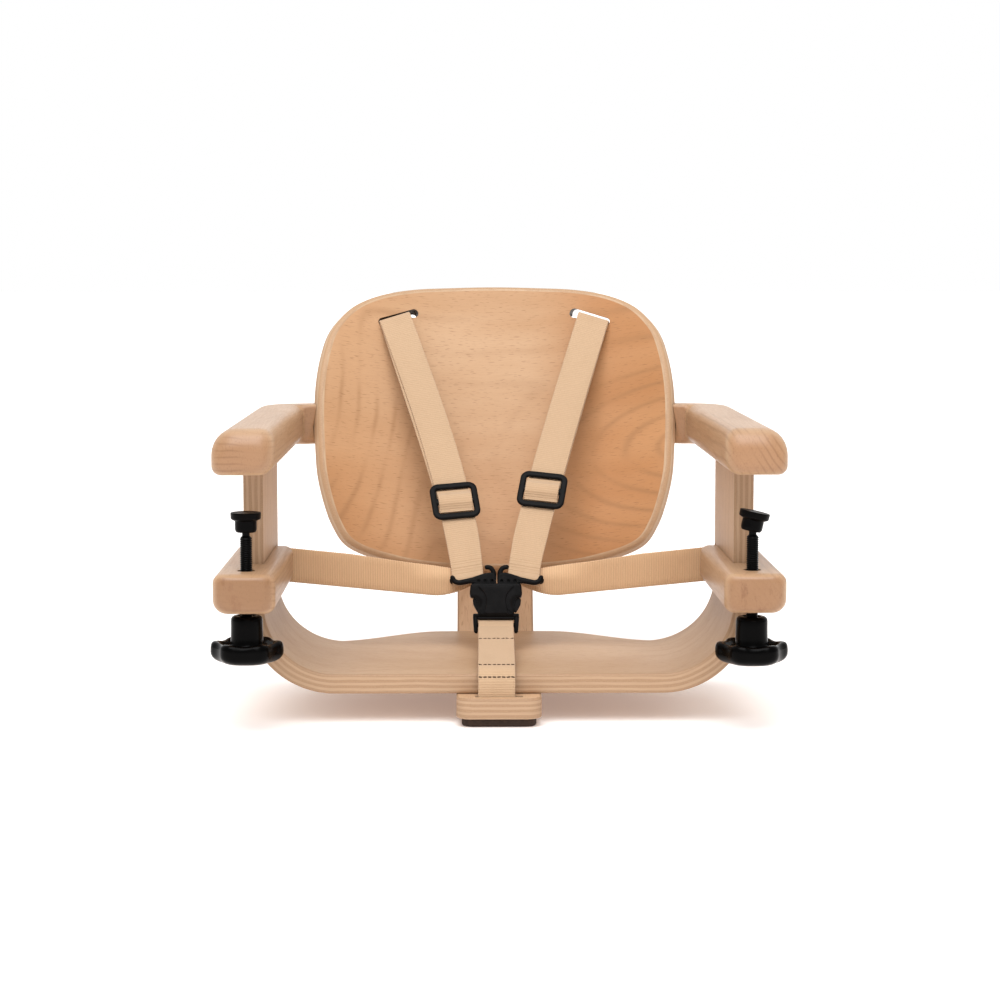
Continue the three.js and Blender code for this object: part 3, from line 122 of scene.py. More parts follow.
def spots(*parts: Array | float) -> Array:
    """Stack coordinates, numbers or arrays, into one array of points.

    Args:
        parts: one array or number for each coordinate.

    Returns:
        The points, with their coordinates along the last axis.
    """
    whole = [np.asarray(part, dtype=np.float64) for part in parts]
    return np.stack(np.broadcast_arrays(*whole), axis=-1)


def unit(vector: Array) -> Array:
    """Each vector divided by its own length."""
    return vector / np.linalg.norm(vector, axis=-1, keepdims=True)


def lengths(path: Array) -> Array:
    """How far along a path each of its points lies: the running sum of the steps."""
    steps = np.linalg.norm(np.diff(path, axis=0), axis=-1)
    return np.concatenate([[0.0], np.cumsum(steps)])


def resample(path: Array, spacing: float) -> Array:
    """Lay a path out again at even steps.

    Args:
        path: points along the path.
        spacing: the step wanted between points.

    Returns:
        Points at equal distances along the same path.
    """
    along = lengths(path)
    count = max(2, int(round(along[-1] / spacing)) + 1)
    even = np.linspace(0.0, along[-1], count)
    return np.stack([np.interp(even, along, path[:, k]) for k in range(path.shape[1])], axis=-1)


def draw_in(radius: float, distance: Array) -> Array:
    """How far a quarter circle lies inside its corner: its radius less the half chord at a distance."""
    near = np.minimum(distance, radius)
    return radius - np.sqrt(np.maximum(0.0, radius**2 - (radius - near) ** 2))


def smoothstep(value: Array, low: float, high: float) -> Array:
    """Rise from nought to one between two values, level at both ends: 3t squared less 2t cubed."""
    share = np.clip((value - low) / (high - low), 0.0, 1.0)
    return share * share * (3.0 - 2.0 * share)


def arc(centre: Sequence[float], radius: float, start: float, end: float, count: int = 24) -> Array:
    """Points of a circle in the plane, from one angle to another.

    Args:
        centre: middle of the circle.
        radius: its radius.
        start: first angle, in degrees.
        end: last angle, in degrees.
        count: number of points.

    Returns:
        The points in order.
    """
    angle = np.radians(np.linspace(start, end, count))
    return spots(centre[0] + radius * np.cos(angle), centre[1] + radius * np.sin(angle))


def filleted(corners: Sequence[Sequence[float]], radius: float) -> Array:
    """A bent line whose inner corners are rounded by one radius.

    Args:
        corners: the corners of the line, in the plane.
        radius: bend radius at each inner corner.

    Returns:
        Points of the straight runs and of the arcs between them.
    """
    places = [np.asarray(corner, dtype=np.float64) for corner in corners]
    runs = [places[0][None, :]]
    for before, here, after in zip(places, places[1:], places[2:]):
        arriving, leaving = unit(here - before), unit(after - here)
        turn = math.atan2(arriving[0] * leaving[1] - arriving[1] * leaving[0], float(arriving @ leaving))
        reach = radius * math.tan(abs(turn) / 2.0)
        left = math.copysign(1.0, turn) * np.array([-arriving[1], arriving[0]])
        centre = here - arriving * reach + left * radius
        swept = np.linspace(0.0, turn, 16)
        spoke = -left * radius
        runs.append(spots(
            centre[0] + spoke[0] * np.cos(swept) - spoke[1] * np.sin(swept),
            centre[1] + spoke[0] * np.sin(swept) + spoke[1] * np.cos(swept),
        ))
    runs.append(places[-1][None, :])
    return np.concatenate(runs)


def side_normals(path: Array) -> Array:
    """The direction to the left of a path in the plane, at each of its points."""
    heading = unit(np.gradient(path, axis=0))
    return spots(-heading[:, 1], heading[:, 0])


def closed_curve(places: Array, count: int) -> Array:
    """A smooth closed line through points: centripetal cubic spans, laid out at even steps.

    Args:
        places: points in the plane, in order.
        count: number of steps round the line.

    Returns:
        The points of the line, the first repeated at the end.
    """
    before, here, after, beyond = (np.roll(places, shift, axis=0) for shift in (1, 0, -1, -2))
    spans = (here - before, after - here, beyond - after)
    first, middle, last = (np.linalg.norm(span, axis=1)[:, None] ** 0.5 for span in spans)
    leave = (here - before) / first - (after - before) / (first + middle) + (after - here) / middle
    arrive = (after - here) / middle - (beyond - here) / (middle + last) + (beyond - after) / last
    share = np.linspace(0.0, 1.0, 24, endpoint=False)[None, :, None]
    here, after = here[:, None], after[:, None]
    leave, arrive = (leave * middle)[:, None], (arrive * middle)[:, None]
    line = (
        (2 * share**3 - 3 * share**2 + 1) * here
        + (share**3 - 2 * share**2 + share) * leave
        + (3 * share**2 - 2 * share**3) * after
        + (share**3 - share**2) * arrive
    ).reshape(-1, 2)
    line = np.concatenate([line, line[:1]])
    return resample(line, lengths(line)[-1] / count)


def outward_normals(loop: Array) -> Array:
    """The outward direction at each point of a closed line whose last point repeats its first."""
    ring = loop[:-1]
    run = np.roll(ring, -1, axis=0) - np.roll(ring, 1, axis=0)
    area = np.sum(ring[:, 0] * np.roll(ring[:, 1], -1) - ring[:, 1] * np.roll(ring[:, 0], -1))
    normal = unit(math.copysign(1.0, area) * spots(run[:, 1], -run[:, 0]))
    return np.concatenate([normal, normal[:1]])


def border(face: Array) -> Array:
    """The closed line round a grid of points, the first point repeated at the end."""
    return np.concatenate([face[0], face[1:, -1], face[-1, -2::-1], face[-2::-1, 0]])


def rounded_rings(width: Array, height: Array, radii: Array, steps: int = 6) -> Array:
    """Rounded rectangles, one for each station of a sweep, each corner with its own radius.

    Each corner is a quarter circle whose radius shrinks where the sides are too short for it.

    Args:
        width: width at each station.
        height: height at each station.
        radii: radii at each station, from the upper right corner against the clock.
        steps: steps round each corner.

    Returns:
        One closed ring for each station, its first point repeated.
    """
    width, height = np.atleast_1d(width)[:, None], np.atleast_1d(height)[:, None]
    across = np.maximum(radii[:, [0]] + radii[:, [1]], radii[:, [2]] + radii[:, [3]])
    upright = np.maximum(radii[:, [0]] + radii[:, [3]], radii[:, [1]] + radii[:, [2]])
    fitted = (radii * np.minimum(1.0, np.minimum(width / across, height / upright)))[:, :, None]
    angle = (np.arange(4)[:, None] + np.linspace(0.0, 1.0, steps + 1)[None, :]) * (math.pi / 2.0)
    right = np.array([1.0, -1.0, -1.0, 1.0])[None, :, None]
    top = np.array([1.0, 1.0, -1.0, -1.0])[None, :, None]
    ring = spots(
        right * (width[:, :, None] / 2.0 - fitted) + fitted * np.cos(angle),
        top * (height[:, :, None] / 2.0 - fitted) + fitted * np.sin(angle),
    ).reshape(width.shape[0], -1, 2)
    return np.concatenate([ring, ring[:, :1]], axis=1)


def rounded_box(low: Sequence[float], high: Sequence[float], radius: float, steps: int = 3) -> Array:
    """A box with rounded edges: each direction of a ball, pushed out to its own corner of a smaller box.

    Args:
        low: lowest corner.
        high: highest corner.
        radius: radius of the edges.
        steps: steps round each edge.

    Returns:
        A grid from the middle of the lower face to the middle of the upper face.
    """
    low, high = np.asarray(low, dtype=np.float64), np.asarray(high, dtype=np.float64)
    core = (high - low) / 2.0 - radius
    rise = np.linspace(0.0, 1.0, steps + 1) * math.pi / 2.0
    tilt = np.concatenate([rise - math.pi / 2.0, rise])[:, None]
    level = np.repeat([-1.0, 1.0], steps + 1)[:, None]
    swing = (np.arange(4)[:, None] + np.linspace(0.0, 1.0, steps + 1)[None, :]).reshape(-1) * math.pi / 2.0
    swing = np.append(swing, TURN)[None, :]
    right = np.append(np.repeat([1.0, -1.0, -1.0, 1.0], steps + 1), 1.0)[None, :]
    back = np.append(np.repeat([1.0, 1.0, -1.0, -1.0], steps + 1), 1.0)[None, :]
    wall = spots(
        right * core[0] + radius * np.cos(tilt) * np.cos(swing),
        back * core[1] + radius * np.cos(tilt) * np.sin(swing),
        level * core[2] + radius * np.sin(tilt),
    )
    middle = np.zeros_like(wall[:1])
    foot, head = middle.copy(), middle.copy()
    foot[..., 2], head[..., 2] = -core[2] - radius, core[2] + radius
    return np.concatenate([foot, wall, head]) + (low + high) / 2.0


def tube(path: Array, radius: Array, side: Sequence[float], count: int = 16) -> Array:
    """A round bar along a path that bends in one plane.

    Each ring is the path point plus the radius times the cosine and sine of the angle along the path's
    normal and the plane's own normal.

    Args:
        path: points along the middle of the bar.
        radius: radius at each point.
        side: direction square to the plane of the path.
        count: steps round the bar.

    Returns:
        One closed ring for each point of the path.
    """
    flank = unit(np.asarray(side, dtype=np.float64))[None, :]
    normal = unit(np.cross(np.gradient(path, axis=0), flank))
    angle = np.linspace(0.0, TURN, count + 1)[None, :, None]
    ring = np.cos(angle) * normal[:, None] + np.sin(angle) * flank[:, None]
    return path[:, None] + ring * np.asarray(radius)[:, None, None]


def round_ended(path: Array, radius: Array) -> Array:
    """Radii that close both ends of a bar in half balls."""
    along = lengths(path)
    near = np.minimum(along, along[-1] - along)
    share = np.clip(near / radius, 0.0, 1.0)
    return radius * np.sqrt(np.maximum(0.0, 1.0 - (1.0 - share) ** 2))


def bar(start: Sequence[float], end: Sequence[float], radius: float, side: Sequence[float]) -> Array:
    """A straight round bar with rounded ends, as a grid of rings."""
    first, last = np.asarray(start, dtype=np.float64), np.asarray(end, dtype=np.float64)
    tip = 0.5 - 0.5 * np.cos(np.linspace(0.0, math.pi, 9))
    span = float(np.linalg.norm(last - first))
    cap = radius * tip[:5] * 2.0
    along = np.concatenate([cap, span - cap[::-1]])
    path = first + (last - first) * (along / span)[:, None]
    return tube(path, round_ended(path, np.full(along.size, radius)), side)


def lathe(profile: Array, count: int = 48) -> Array:
    """A profile of radius and height, turned about the upright axis."""
    angle = np.linspace(0.0, TURN, count + 1)[None, :]
    radius, height = profile[:, :1], profile[:, 1:]
    return spots(radius * np.cos(angle), radius * np.sin(angle), height)


def eased(corners: Sequence[Sequence[float]], edge: float) -> Array:
    """A turned profile whose corners are eased by short arcs, at most as long as its own steps allow."""
    places = np.asarray(corners, dtype=np.float64)
    runs = [places[:1]]
    share = np.linspace(0.0, 1.0, 5)[:, None]
    for before, here, after in zip(places, places[1:], places[2:]):
        shortest = min(float(np.linalg.norm(here - before)), float(np.linalg.norm(after - here)))
        room = min(edge, 0.45 * shortest)
        first, last = here + unit(before - here) * room, here + unit(after - here) * room
        runs.append((1 - share) ** 2 * first + 2 * share * (1 - share) * here + share**2 * last)
    runs.append(places[-1:])
    return np.concatenate(runs)


@dataclass(frozen=True)
class Place:
    """An origin and three square directions, to set a piece out in its own coordinates."""

    origin: Array
    x: Array
    y: Array
    z: Array

    def at(self, local: Array) -> Array:
        """Points given along this place's directions, as points of the chair."""
        return self.origin + local[..., :1] * self.x + local[..., 1:2] * self.y + local[..., 2:] * self.z


class Skin:
    """Collects grids of points and welds them into one closed piece."""

    def __init__(self, name: str, *finishes: bpy.types.Material, sign: float = 1.0) -> None:
        """Start a piece.

        Args:
            name: the piece's name.
            finishes: its materials, in the order that the grids number them.
            sign: minus one to see every grid in a mirror on the middle plane.
        """
        self.name = name
        self.finishes = finishes
        self.sign = sign
        self.grids: list[Array] = []
        self.lays: list[Array] = []
        self.numbers: list[int] = []

    def add(self, grid: Array, lay: Array | None = None, finish: int = 0) -> "Skin":
        """Take in a grid of points.

        Args:
            grid: points by row and column.
            lay: where each point lies on the flat finish; by row and column lengths if left out.
            finish: number of the material.

        Returns:
            The skin itself.
        """
        if lay is None:
            along = lengths(grid.mean(axis=1))
            longest = int(np.argmax(np.linalg.norm(np.diff(grid, axis=1), axis=-1).sum(axis=1)))
            lay = spots(along[:, None], lengths(grid[longest])[None, :])
        self.grids.append(grid)
        self.lays.append(np.broadcast_to(lay, (*grid.shape[:2], 2)))
        self.numbers.append(finish)
        return self

    def sweep(self, rings: Array, finish: int = 0, lay: Array | None = None) -> "Skin":
        """Take in closed rings along a path, with a flat end at both ends of the path."""
        self.add(rings, lay, finish)
        for ring in (rings[0], rings[-1]):
            middle = np.broadcast_to(ring[:-1].mean(axis=0), ring.shape)
            self.add(np.stack([ring, middle]), None, finish)
        return self

    def build(self, crease: float = 40.0) -> bpy.types.Object:
        """Weld the grids into a mesh with outward faces, smooth up to the crease angle in degrees."""
        starts = np.cumsum([0] + [grid.shape[0] * grid.shape[1] for grid in self.grids])
        quads: list[Array] = []
        for grid, start in zip(self.grids, starts):
            index = np.arange(grid.shape[0] * grid.shape[1]).reshape(grid.shape[:2]) + start
            quads.append(np.stack(
                [index[:-1, :-1], index[:-1, 1:], index[1:, 1:], index[1:, :-1]], axis=-1,
            ).reshape(-1, 4))
        every = np.concatenate([grid.reshape(-1, 3) for grid in self.grids])
        every = (every * (self.sign, 1.0, 1.0) + (0.0, ARM_FRONT_Y, 0.0)) * METRE
        faces = np.concatenate(quads)
        lay = np.concatenate([lay.reshape(-1, 2) for lay in self.lays]) * METRE
        mesh = bpy.data.meshes.new(self.name)
        mesh.from_pydata(every.tolist(), [], faces.tolist())
        mesh.uv_layers.new(name=LAY).data.foreach_set("uv", lay[faces.reshape(-1)].reshape(-1))
        numbers = np.repeat(self.numbers, [len(quad) for quad in quads]).astype(np.int32)
        mesh.polygons.foreach_set("material_index", numbers)
        for finish in self.finishes:
            mesh.materials.append(finish)
        work = bmesh.new()
        work.from_mesh(mesh)
        bmesh.ops.remove_doubles(work, verts=work.verts, dist=2e-6)
        bmesh.ops.dissolve_degenerate(work, edges=work.edges, dist=1e-7)
        bmesh.ops.recalc_face_normals(work, faces=work.faces)
        work.to_mesh(mesh)
        work.free()
        mesh.shade_smooth()
        mesh.set_sharp_from_angle(angle=math.radians(crease))
        piece = bpy.data.objects.new(self.name, mesh)
        bpy.context.scene.collection.objects.link(piece)
        return piece


def carve(piece: bpy.types.Object, *tools: bpy.types.Object, crease: float = 40.0,
          solver: str = "EXACT") -> bpy.types.Object:
    """Cut tools out of a piece and throw the tools away.

    Args:
        piece: the piece to cut.
        tools: closed shapes whose space is taken away.
        crease: angle in degrees above which an edge stays sharp.
        solver: how the cut is worked out.

    Returns:
        The piece, with its new mesh.
    """
    for tool in tools:
        change = piece.modifiers.new("carve", "BOOLEAN")
        change.operation = "DIFFERENCE"
        change.solver = solver
        change.object = tool
    graph = bpy.context.evaluated_depsgraph_get()
    mesh = bpy.data.meshes.new_from_object(piece.evaluated_get(graph))
    before = piece.data
    piece.modifiers.clear()
    piece.data = mesh
    bpy.data.meshes.remove(before)
    mesh.name = piece.name
    mesh.set_sharp_from_angle(angle=math.radians(crease))
    for tool in tools:
        shape = tool.data
        bpy.data.objects.remove(tool)
        bpy.data.meshes.remove(shape)
    return piece


def gather(piece: bpy.types.Object, *others: bpy.types.Object) -> bpy.types.Object:
    """Put other meshes of the same finishes into one piece, and throw their own objects away."""
    work = bmesh.new()
    work.from_mesh(piece.data)
    for other in others:
        work.from_mesh(other.data)
    work.to_mesh(piece.data)
    work.free()
    for other in others:
        shape = other.data
        bpy.data.objects.remove(other)
        bpy.data.meshes.remove(shape)
    return piece


def deliver(piece: bpy.types.Object, body: str, slot: Slot, *nodes: str) -> bpy.types.Object:
    """Set a piece on its body in place of solids, and report it.

    Args:
        piece: the finished piece.
        body: the body that it moves with.
        slot: the record's finish for it; not used.
        nodes: the solids that it stands for.

    Returns:
        The piece.
    """
    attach(piece, body)
    if nodes:
        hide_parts(*nodes)
    piece.data.calc_loop_triangles()
    LOG.info("%s on %s: %d triangles", piece.name, body, len(piece.data.loop_triangles))
    return piece


class Graph:
    """A node material in the making, with a short call for each of its parts."""

    def __init__(self, name: str) -> None:
        """Start a material with a principled shader."""
        self.material = bpy.data.materials.new(name)
        self.material.use_nodes = True
        self.tree = self.material.node_tree
        self.shader = self.tree.nodes["Principled BSDF"]

    def feed(self, target: Socket, value: "Socket | float | Sequence[float]") -> None:
        """Link a socket into another, or set its constant."""
        if isinstance(value, bpy.types.NodeSocket):
            self.tree.links.new(value, target)
        else:
            target.default_value = value

    def set(self, **values: "Socket | float | Sequence[float]") -> None:
        """Feed sockets of the shader by name, with underscores for spaces."""
        for name, value in values.items():
            socket = self.shader.inputs[name.replace("_", " ")]
            if isinstance(value, tuple) and len(value) == 3 and socket.type == "RGBA":
                value = (*value, 1.0)
            self.feed(socket, value)

    def lay(self) -> Socket:
        """Coordinates of the piece's own flat map, in metres."""
        node = self.tree.nodes.new("ShaderNodeUVMap")
        node.uv_map = LAY
        return node.outputs["UV"]

    def solid(self) -> Socket:
        """Coordinates in the chair's frame, in metres."""
        return self.tree.nodes.new("ShaderNodeTexCoord").outputs["Object"]

    def stretched(self, vector: Socket, scale: Sequence[float], turn: Sequence[float] = (0, 0, 0),
                  shift: Sequence[float] = (0, 0, 0)) -> Socket:
        """Coordinates turned in degrees, scaled along each axis and shifted."""
        node = self.tree.nodes.new("ShaderNodeMapping")
        self.feed(node.inputs["Vector"], vector)
        node.inputs["Scale"].default_value = scale
        node.inputs["Rotation"].default_value = [math.radians(angle) for angle in turn]
        node.inputs["Location"].default_value = shift
        return node.outputs["Vector"]

    def part(self, vector: Socket, axis: str) -> Socket:
        """One coordinate of a vector."""
        node = self.tree.nodes.new("ShaderNodeSeparateXYZ")
        self.feed(node.inputs[0], vector)
        return node.outputs[axis]

    def noise(self, vector: Socket, scale: Sequence[float], detail: float = 2.0, rough: float = 0.5,
              turn: Sequence[float] = (0, 0, 0), shift: Sequence[float] = (0, 0, 0)) -> Socket:
        """Soft noise on coordinates that are scaled, turned and shifted first."""
        node = self.tree.nodes.new("ShaderNodeTexNoise")
        self.feed(node.inputs["Vector"], self.stretched(vector, scale, turn, shift))
        node.inputs["Scale"].default_value = 1.0
        node.inputs["Detail"].default_value = detail
        node.inputs["Roughness"].default_value = rough
        return node.outputs["Fac"]

    def math(self, operation: str, first: "Socket | float", second: "Socket | float" = 0.0,
             third: float = 0.0) -> Socket:
        """One sum of two values, and a third where the sum takes it."""
        node = self.tree.nodes.new("ShaderNodeMath")
        node.operation = operation
        self.feed(node.inputs[0], first)
        self.feed(node.inputs[1], second)
        node.inputs[2].default_value = third
        return node.outputs[0]

    def product(self, first: Socket, *others: "Socket | float") -> Socket:
        """Values multiplied together."""
        for other in others:
            first = self.math("MULTIPLY", first, other)
        return first

    def reach(self, vector: Socket) -> Socket:
        """The length of a vector."""
        node = self.tree.nodes.new("ShaderNodeVectorMath")
        node.operation = "LENGTH"
        self.feed(node.inputs[0], vector)
        return node.outputs["Value"]

    def wave(self, value: Socket, pitch: float) -> Socket:
        """A cosine between nought and one that repeats at a pitch, one where the value is nought."""
        return self.math("MULTIPLY_ADD", self.math("COSINE", self.product(value, TURN / pitch)), 0.5, 0.5)

    def between(self, value: Socket, low: float, high: float, to: Sequence[float] = (0.0, 1.0)) -> Socket:
        """A value carried smoothly from one span to another, and held at its ends."""
        node = self.tree.nodes.new("ShaderNodeMapRange")
        node.interpolation_type = "SMOOTHSTEP"
        self.feed(node.inputs["Value"], value)
        node.inputs["From Min"].default_value = low
        node.inputs["From Max"].default_value = high
        node.inputs["To Min"].default_value = to[0]
        node.inputs["To Max"].default_value = to[1]
        return node.outputs["Result"]

    def blend(self, factor: "Socket | float", first: "Socket | Colour", second: "Socket | Colour",
              kind: str = "MIX") -> Socket:
        """Two colours mixed by a factor."""
        node = self.tree.nodes.new("ShaderNodeMix")
        node.data_type = "RGBA"
        node.blend_type = kind
        self.feed(node.inputs[0], factor)
        self.feed(node.inputs[6], (*first, 1.0) if isinstance(first, tuple) else first)
        self.feed(node.inputs[7], (*second, 1.0) if isinstance(second, tuple) else second)
        return node.outputs[2]

    def relief(self, height: Socket, depth: float, strength: float = 0.5) -> None:
        """Bump the surface by a height, one unit of which is a depth in metres."""
        node = self.tree.nodes.new("ShaderNodeBump")
        node.inputs["Strength"].default_value = strength
        node.inputs["Distance"].default_value = depth
        self.feed(node.inputs["Height"], height)
        self.feed(self.shader.inputs["Normal"], node.outputs["Normal"])


@dataclass(frozen=True)
class Veneer:
    """Rotary cut beech face of the plywood under a clear satin lacquer, its grain along the map's x."""

    name: str
    pale: Colour = (0.53, 0.338, 0.2)
    deep: Colour = (0.44, 0.248, 0.125)
    figure: float = 0.44
    loops: Sequence[Sequence[float]] = ((-165, 30, 14, 30), (160, -40, 26, 12), (30, 190, 150, 26))
    # Painted shade: how far the wood is darkened and warmed at its right, at its left and low down.
    side_and_low_shade: Sequence[float] = (0.0, 0.0, 0.0)
    # Painted light: share by which the wood is paled towards both ends of a long sheet.
    rise: float = 0.0
    # Painted shade: the tint multiplied into the wood at its sides and low down.
    shade_tint: Colour = (0.93, 0.74, 0.56)
    # Painted light: the pale colour that the ends of a long sheet are lifted towards.
    light: Colour = (0.72, 0.51, 0.36)
    line_tint: Colour = (0.28, 0.14, 0.062)
    fibre_tint: Colour = (0.32, 0.172, 0.085)
    fleck_tint: Colour = (0.22, 0.105, 0.046)

    def rings(self, g: Graph, lay: Socket) -> Socket:
        """Growth rings are loops nested round a few middles: the least distance from them, bent by noise.

        A loop is given by its middle along and up the grain and by the length and height of its first ring.

        Args:
            g: the material.
            lay: coordinates of the flat map.

        Returns:
            Thin lines, one on a line and nought between.
        """
        least: Socket | None = None
        for x, y, length, height in self.loops:
            scale = (1.0 / (length * METRE), 1.0 / (height * METRE), 0)
            nested = g.reach(g.stretched(lay, scale, shift=(-x / length, -y / height, 0)))
            least = nested if least is None else g.math("SMOOTH_MIN", least, nested, 1.5)
        bent = g.product(g.noise(lay, (5.0, 9.0, 1.0)), 1.3)
        return g.math("POWER", g.wave(g.math("ADD", least, bent), 1.0), 6.0)

    def material(self) -> bpy.types.Material:
        """Rings, fibres and flecks over two tones of wood.

        Painted shade darkens and warms the wood at its right, at its left and low down, each by its own
        share, and painted light makes it paler towards both ends of a long sheet.
        """
        g = Graph(self.name)
        lay = g.lay()
        x, y = g.part(lay, "X"), g.part(lay, "Y")
        off = g.math("ABSOLUTE", x)
        patchy = g.between(g.noise(lay, (12.0, 17.0, 1.0), shift=(2.0, 1.0, 0)), 0.36, 0.62)
        aside = g.between(off, 0.03, 0.1, (0.35, 1.0))
        tone = g.noise(lay, (5.0, 16.0, 1.0), 3.0, turn=(0, 0, 4), shift=(3.0, 3.0, 0))
        fibre = g.noise(lay, (55.0, 1500.0, 1.0), 3.0, 0.6, (0, 0, -3))
        fleck = g.between(g.noise(lay, (150.0, 1400.0, 1.0), 1.0, turn=(0, 0, -4)), 0.61, 0.72)
        # Painted shade: the wood is darkened and warmed towards its right, its left and its foot.
        right, left, low = self.side_and_low_shade
        right_shade_share = g.between(x, 0.02, 0.1, (0.0, right))
        left_shade_share = g.between(x, -0.03, -0.12, (0.0, left))
        shade_share = g.math("ADD", right_shade_share, left_shade_share)
        shade_share = g.math("ADD", shade_share, g.between(y, 0.02, -0.11, (0.0, low)))
        colour = g.blend(g.between(tone, 0.3, 0.75), self.pale, self.deep)
        colour = g.blend(shade_share, colour, self.shade_tint, "MULTIPLY")
        # Painted light: paler towards both ends of a long sheet, where the seat's side panels stand in
        # shade.
        colour = g.blend(g.between(off, 0.18, 0.25, (0.0, self.rise)), colour, self.light)
        colour = g.blend(g.product(self.rings(g, lay), patchy, aside, self.figure), colour, self.line_tint)
        colour = g.blend(g.between(fibre, 0.35, 0.8, (0.0, 0.17)), colour, self.fibre_tint)
        colour = g.blend(g.product(fleck, 0.5), colour, self.fleck_tint)
        g.set(Base_Color=colour, Coat_Weight=0.03, Coat_Roughness=0.3, Specular_IOR_Level=0.2)
        g.set(Roughness=g.between(fibre, 0.2, 0.8, (0.44, 0.56)))
        g.relief(g.math("SUBTRACT", fibre, g.product(fleck, 0.6)), 0.00006)
        return g.material


@dataclass(frozen=True)
class PlyEdge:
    """Bare banded edge of the plywood: the map's y runs through the thickness."""

    name: str
    ply: float = 1.86
    pale: Colour = (0.455, 0.3, 0.187)
    deep: Colour = (0.375, 0.233, 0.135)
    glue: Colour = (0.25, 0.138, 0.073)
    seam: float = 0.36

    def material(self) -> bpy.types.Material:
        """Bands repeat every two plies: long grain, a dark glue line, speckled end grain, a glue line."""
        g = Graph(self.name)
        lay = g.lay()
        sway = g.product(g.noise(lay, (26.0, 90.0, 1.0), 4.0, 0.6), 0.0022)
        band = g.wave(g.math("ADD", g.part(lay, "Y"), sway), 2.0 * self.ply * METRE)
        seam = g.math("ABSOLUTE", g.math("SUBTRACT", band, 0.5))
        streak = g.noise(lay, (50.0, 1800.0, 1.0), 3.0)
        speck = g.noise(lay, (1500.0, 900.0, 1.0))
        pale = g.blend(g.between(streak, 0.3, 0.75, (0.0, 0.45)), self.pale, self.deep)
        deep = g.blend(g.between(speck, 0.35, 0.7, (0.0, 0.35)), self.deep, self.glue)
        colour = g.blend(g.between(band, 0.36, 0.64), deep, pale)
        colour = g.blend(g.between(seam, 0.0, 0.13, (self.seam, 0.0)), colour, self.glue)
        patch = g.noise(lay, (14.0, 300.0, 1.0), shift=(4.0, 0, 0))
        colour = g.blend(g.between(patch, 0.5, 0.75, (0.0, 0.5)), colour, self.deep)
        g.set(Base_Color=colour, Roughness=0.55, Specular_IOR_Level=0.35, Coat_Weight=0.05)
        g.relief(g.math("ADD", band, speck), 0.00005)
        return g.material


@dataclass(frozen=True)
class Beech:
    """Solid beech with its grain along the chair's y, lacquered satin."""

    name: str
    tilt: float
    pale: Colour = (0.475, 0.298, 0.175)
    deep: Colour = (0.39, 0.228, 0.122)
    ends: Colour = (0.345, 0.172, 0.08)
    blotch: float = 0.0
    rings: float = 0.6
    ring_pitch: float = 0.0042
    ring_tint: Colour = (0.22, 0.105, 0.046)
    fibre_tint: Colour = (0.29, 0.16, 0.08)
    fleck_tint: Colour = (0.2, 0.095, 0.042)
    pore_tint: Colour = (0.18, 0.085, 0.04)
    blotch_tint: Colour = (0.2, 0.085, 0.036)

    def material(self) -> bpy.types.Material:
        """Growth rings are slanted layers bent by noise; end grain shows pores and blotches."""
        g = Graph(self.name)
        solid = g.solid()
        turned = g.stretched(solid, (1.0, 1.0, 1.0), (0, self.tilt, 0))
        bent = g.product(g.noise(solid, (22.0, 3.0, 22.0)), 0.011)
        ring = g.math("POWER", g.wave(g.math("ADD", g.part(turned, "X"), bent), self.ring_pitch), 5.0)
        patchy = g.between(g.noise(solid, (30.0, 6.0, 30.0), shift=(3.0, 0, 1.0)), 0.42, 0.64)
        tone = g.noise(solid, (26.0, 5.0, 26.0), 3.0, turn=(0, self.tilt, 0))
        fibre = g.noise(solid, (1400.0, 40.0, 1400.0), 3.0, 0.6)
        fleck = g.between(g.noise(solid, (900.0, 110.0, 900.0), 1.0), 0.6, 0.72)
        pore = g.between(g.noise(solid, (900.0, 60.0, 420.0)), 0.55, 0.75)
        soaked = g.between(g.noise(solid, (160.0, 20.0, 75.0), 4.0, 0.65, shift=(7.0, 0, 2.0)), 0.5, 0.66)
        facing = g.tree.nodes.new("ShaderNodeTexCoord").outputs["Normal"]
        end = g.between(g.math("ABSOLUTE", g.part(facing, "Y")), 0.5, 0.95)
        outer = g.between(g.math("ABSOLUTE", g.part(solid, "X")), 0.16, 0.172, (0.1, self.rings))
        seen = g.blend(end, g.product(patchy, 0.42), outer)
        colour = g.blend(g.between(tone, 0.3, 0.72), self.pale, self.deep)
        colour = g.blend(g.product(end, 0.8), colour, self.ends)
        colour = g.blend(g.product(soaked, end, self.blotch), colour, self.blotch_tint)
        colour = g.blend(g.product(ring, seen), colour, self.ring_tint)
        colour = g.blend(g.between(fibre, 0.35, 0.75, (0.0, 0.2)), colour, self.fibre_tint)
        colour = g.blend(g.product(fleck, 0.26), colour, self.fleck_tint)
        colour = g.blend(g.product(pore, end, 0.3), colour, self.pore_tint)
        g.set(Base_Color=colour, Coat_Weight=0.16, Coat_Roughness=0.28, Specular_IOR_Level=0.45)
        g.set(Roughness=g.between(fibre, 0.2, 0.8, (0.36, 0.5)))
        g.relief(g.math("SUBTRACT", fibre, g.product(ring, 0.3)), 0.00005)
        return g.material


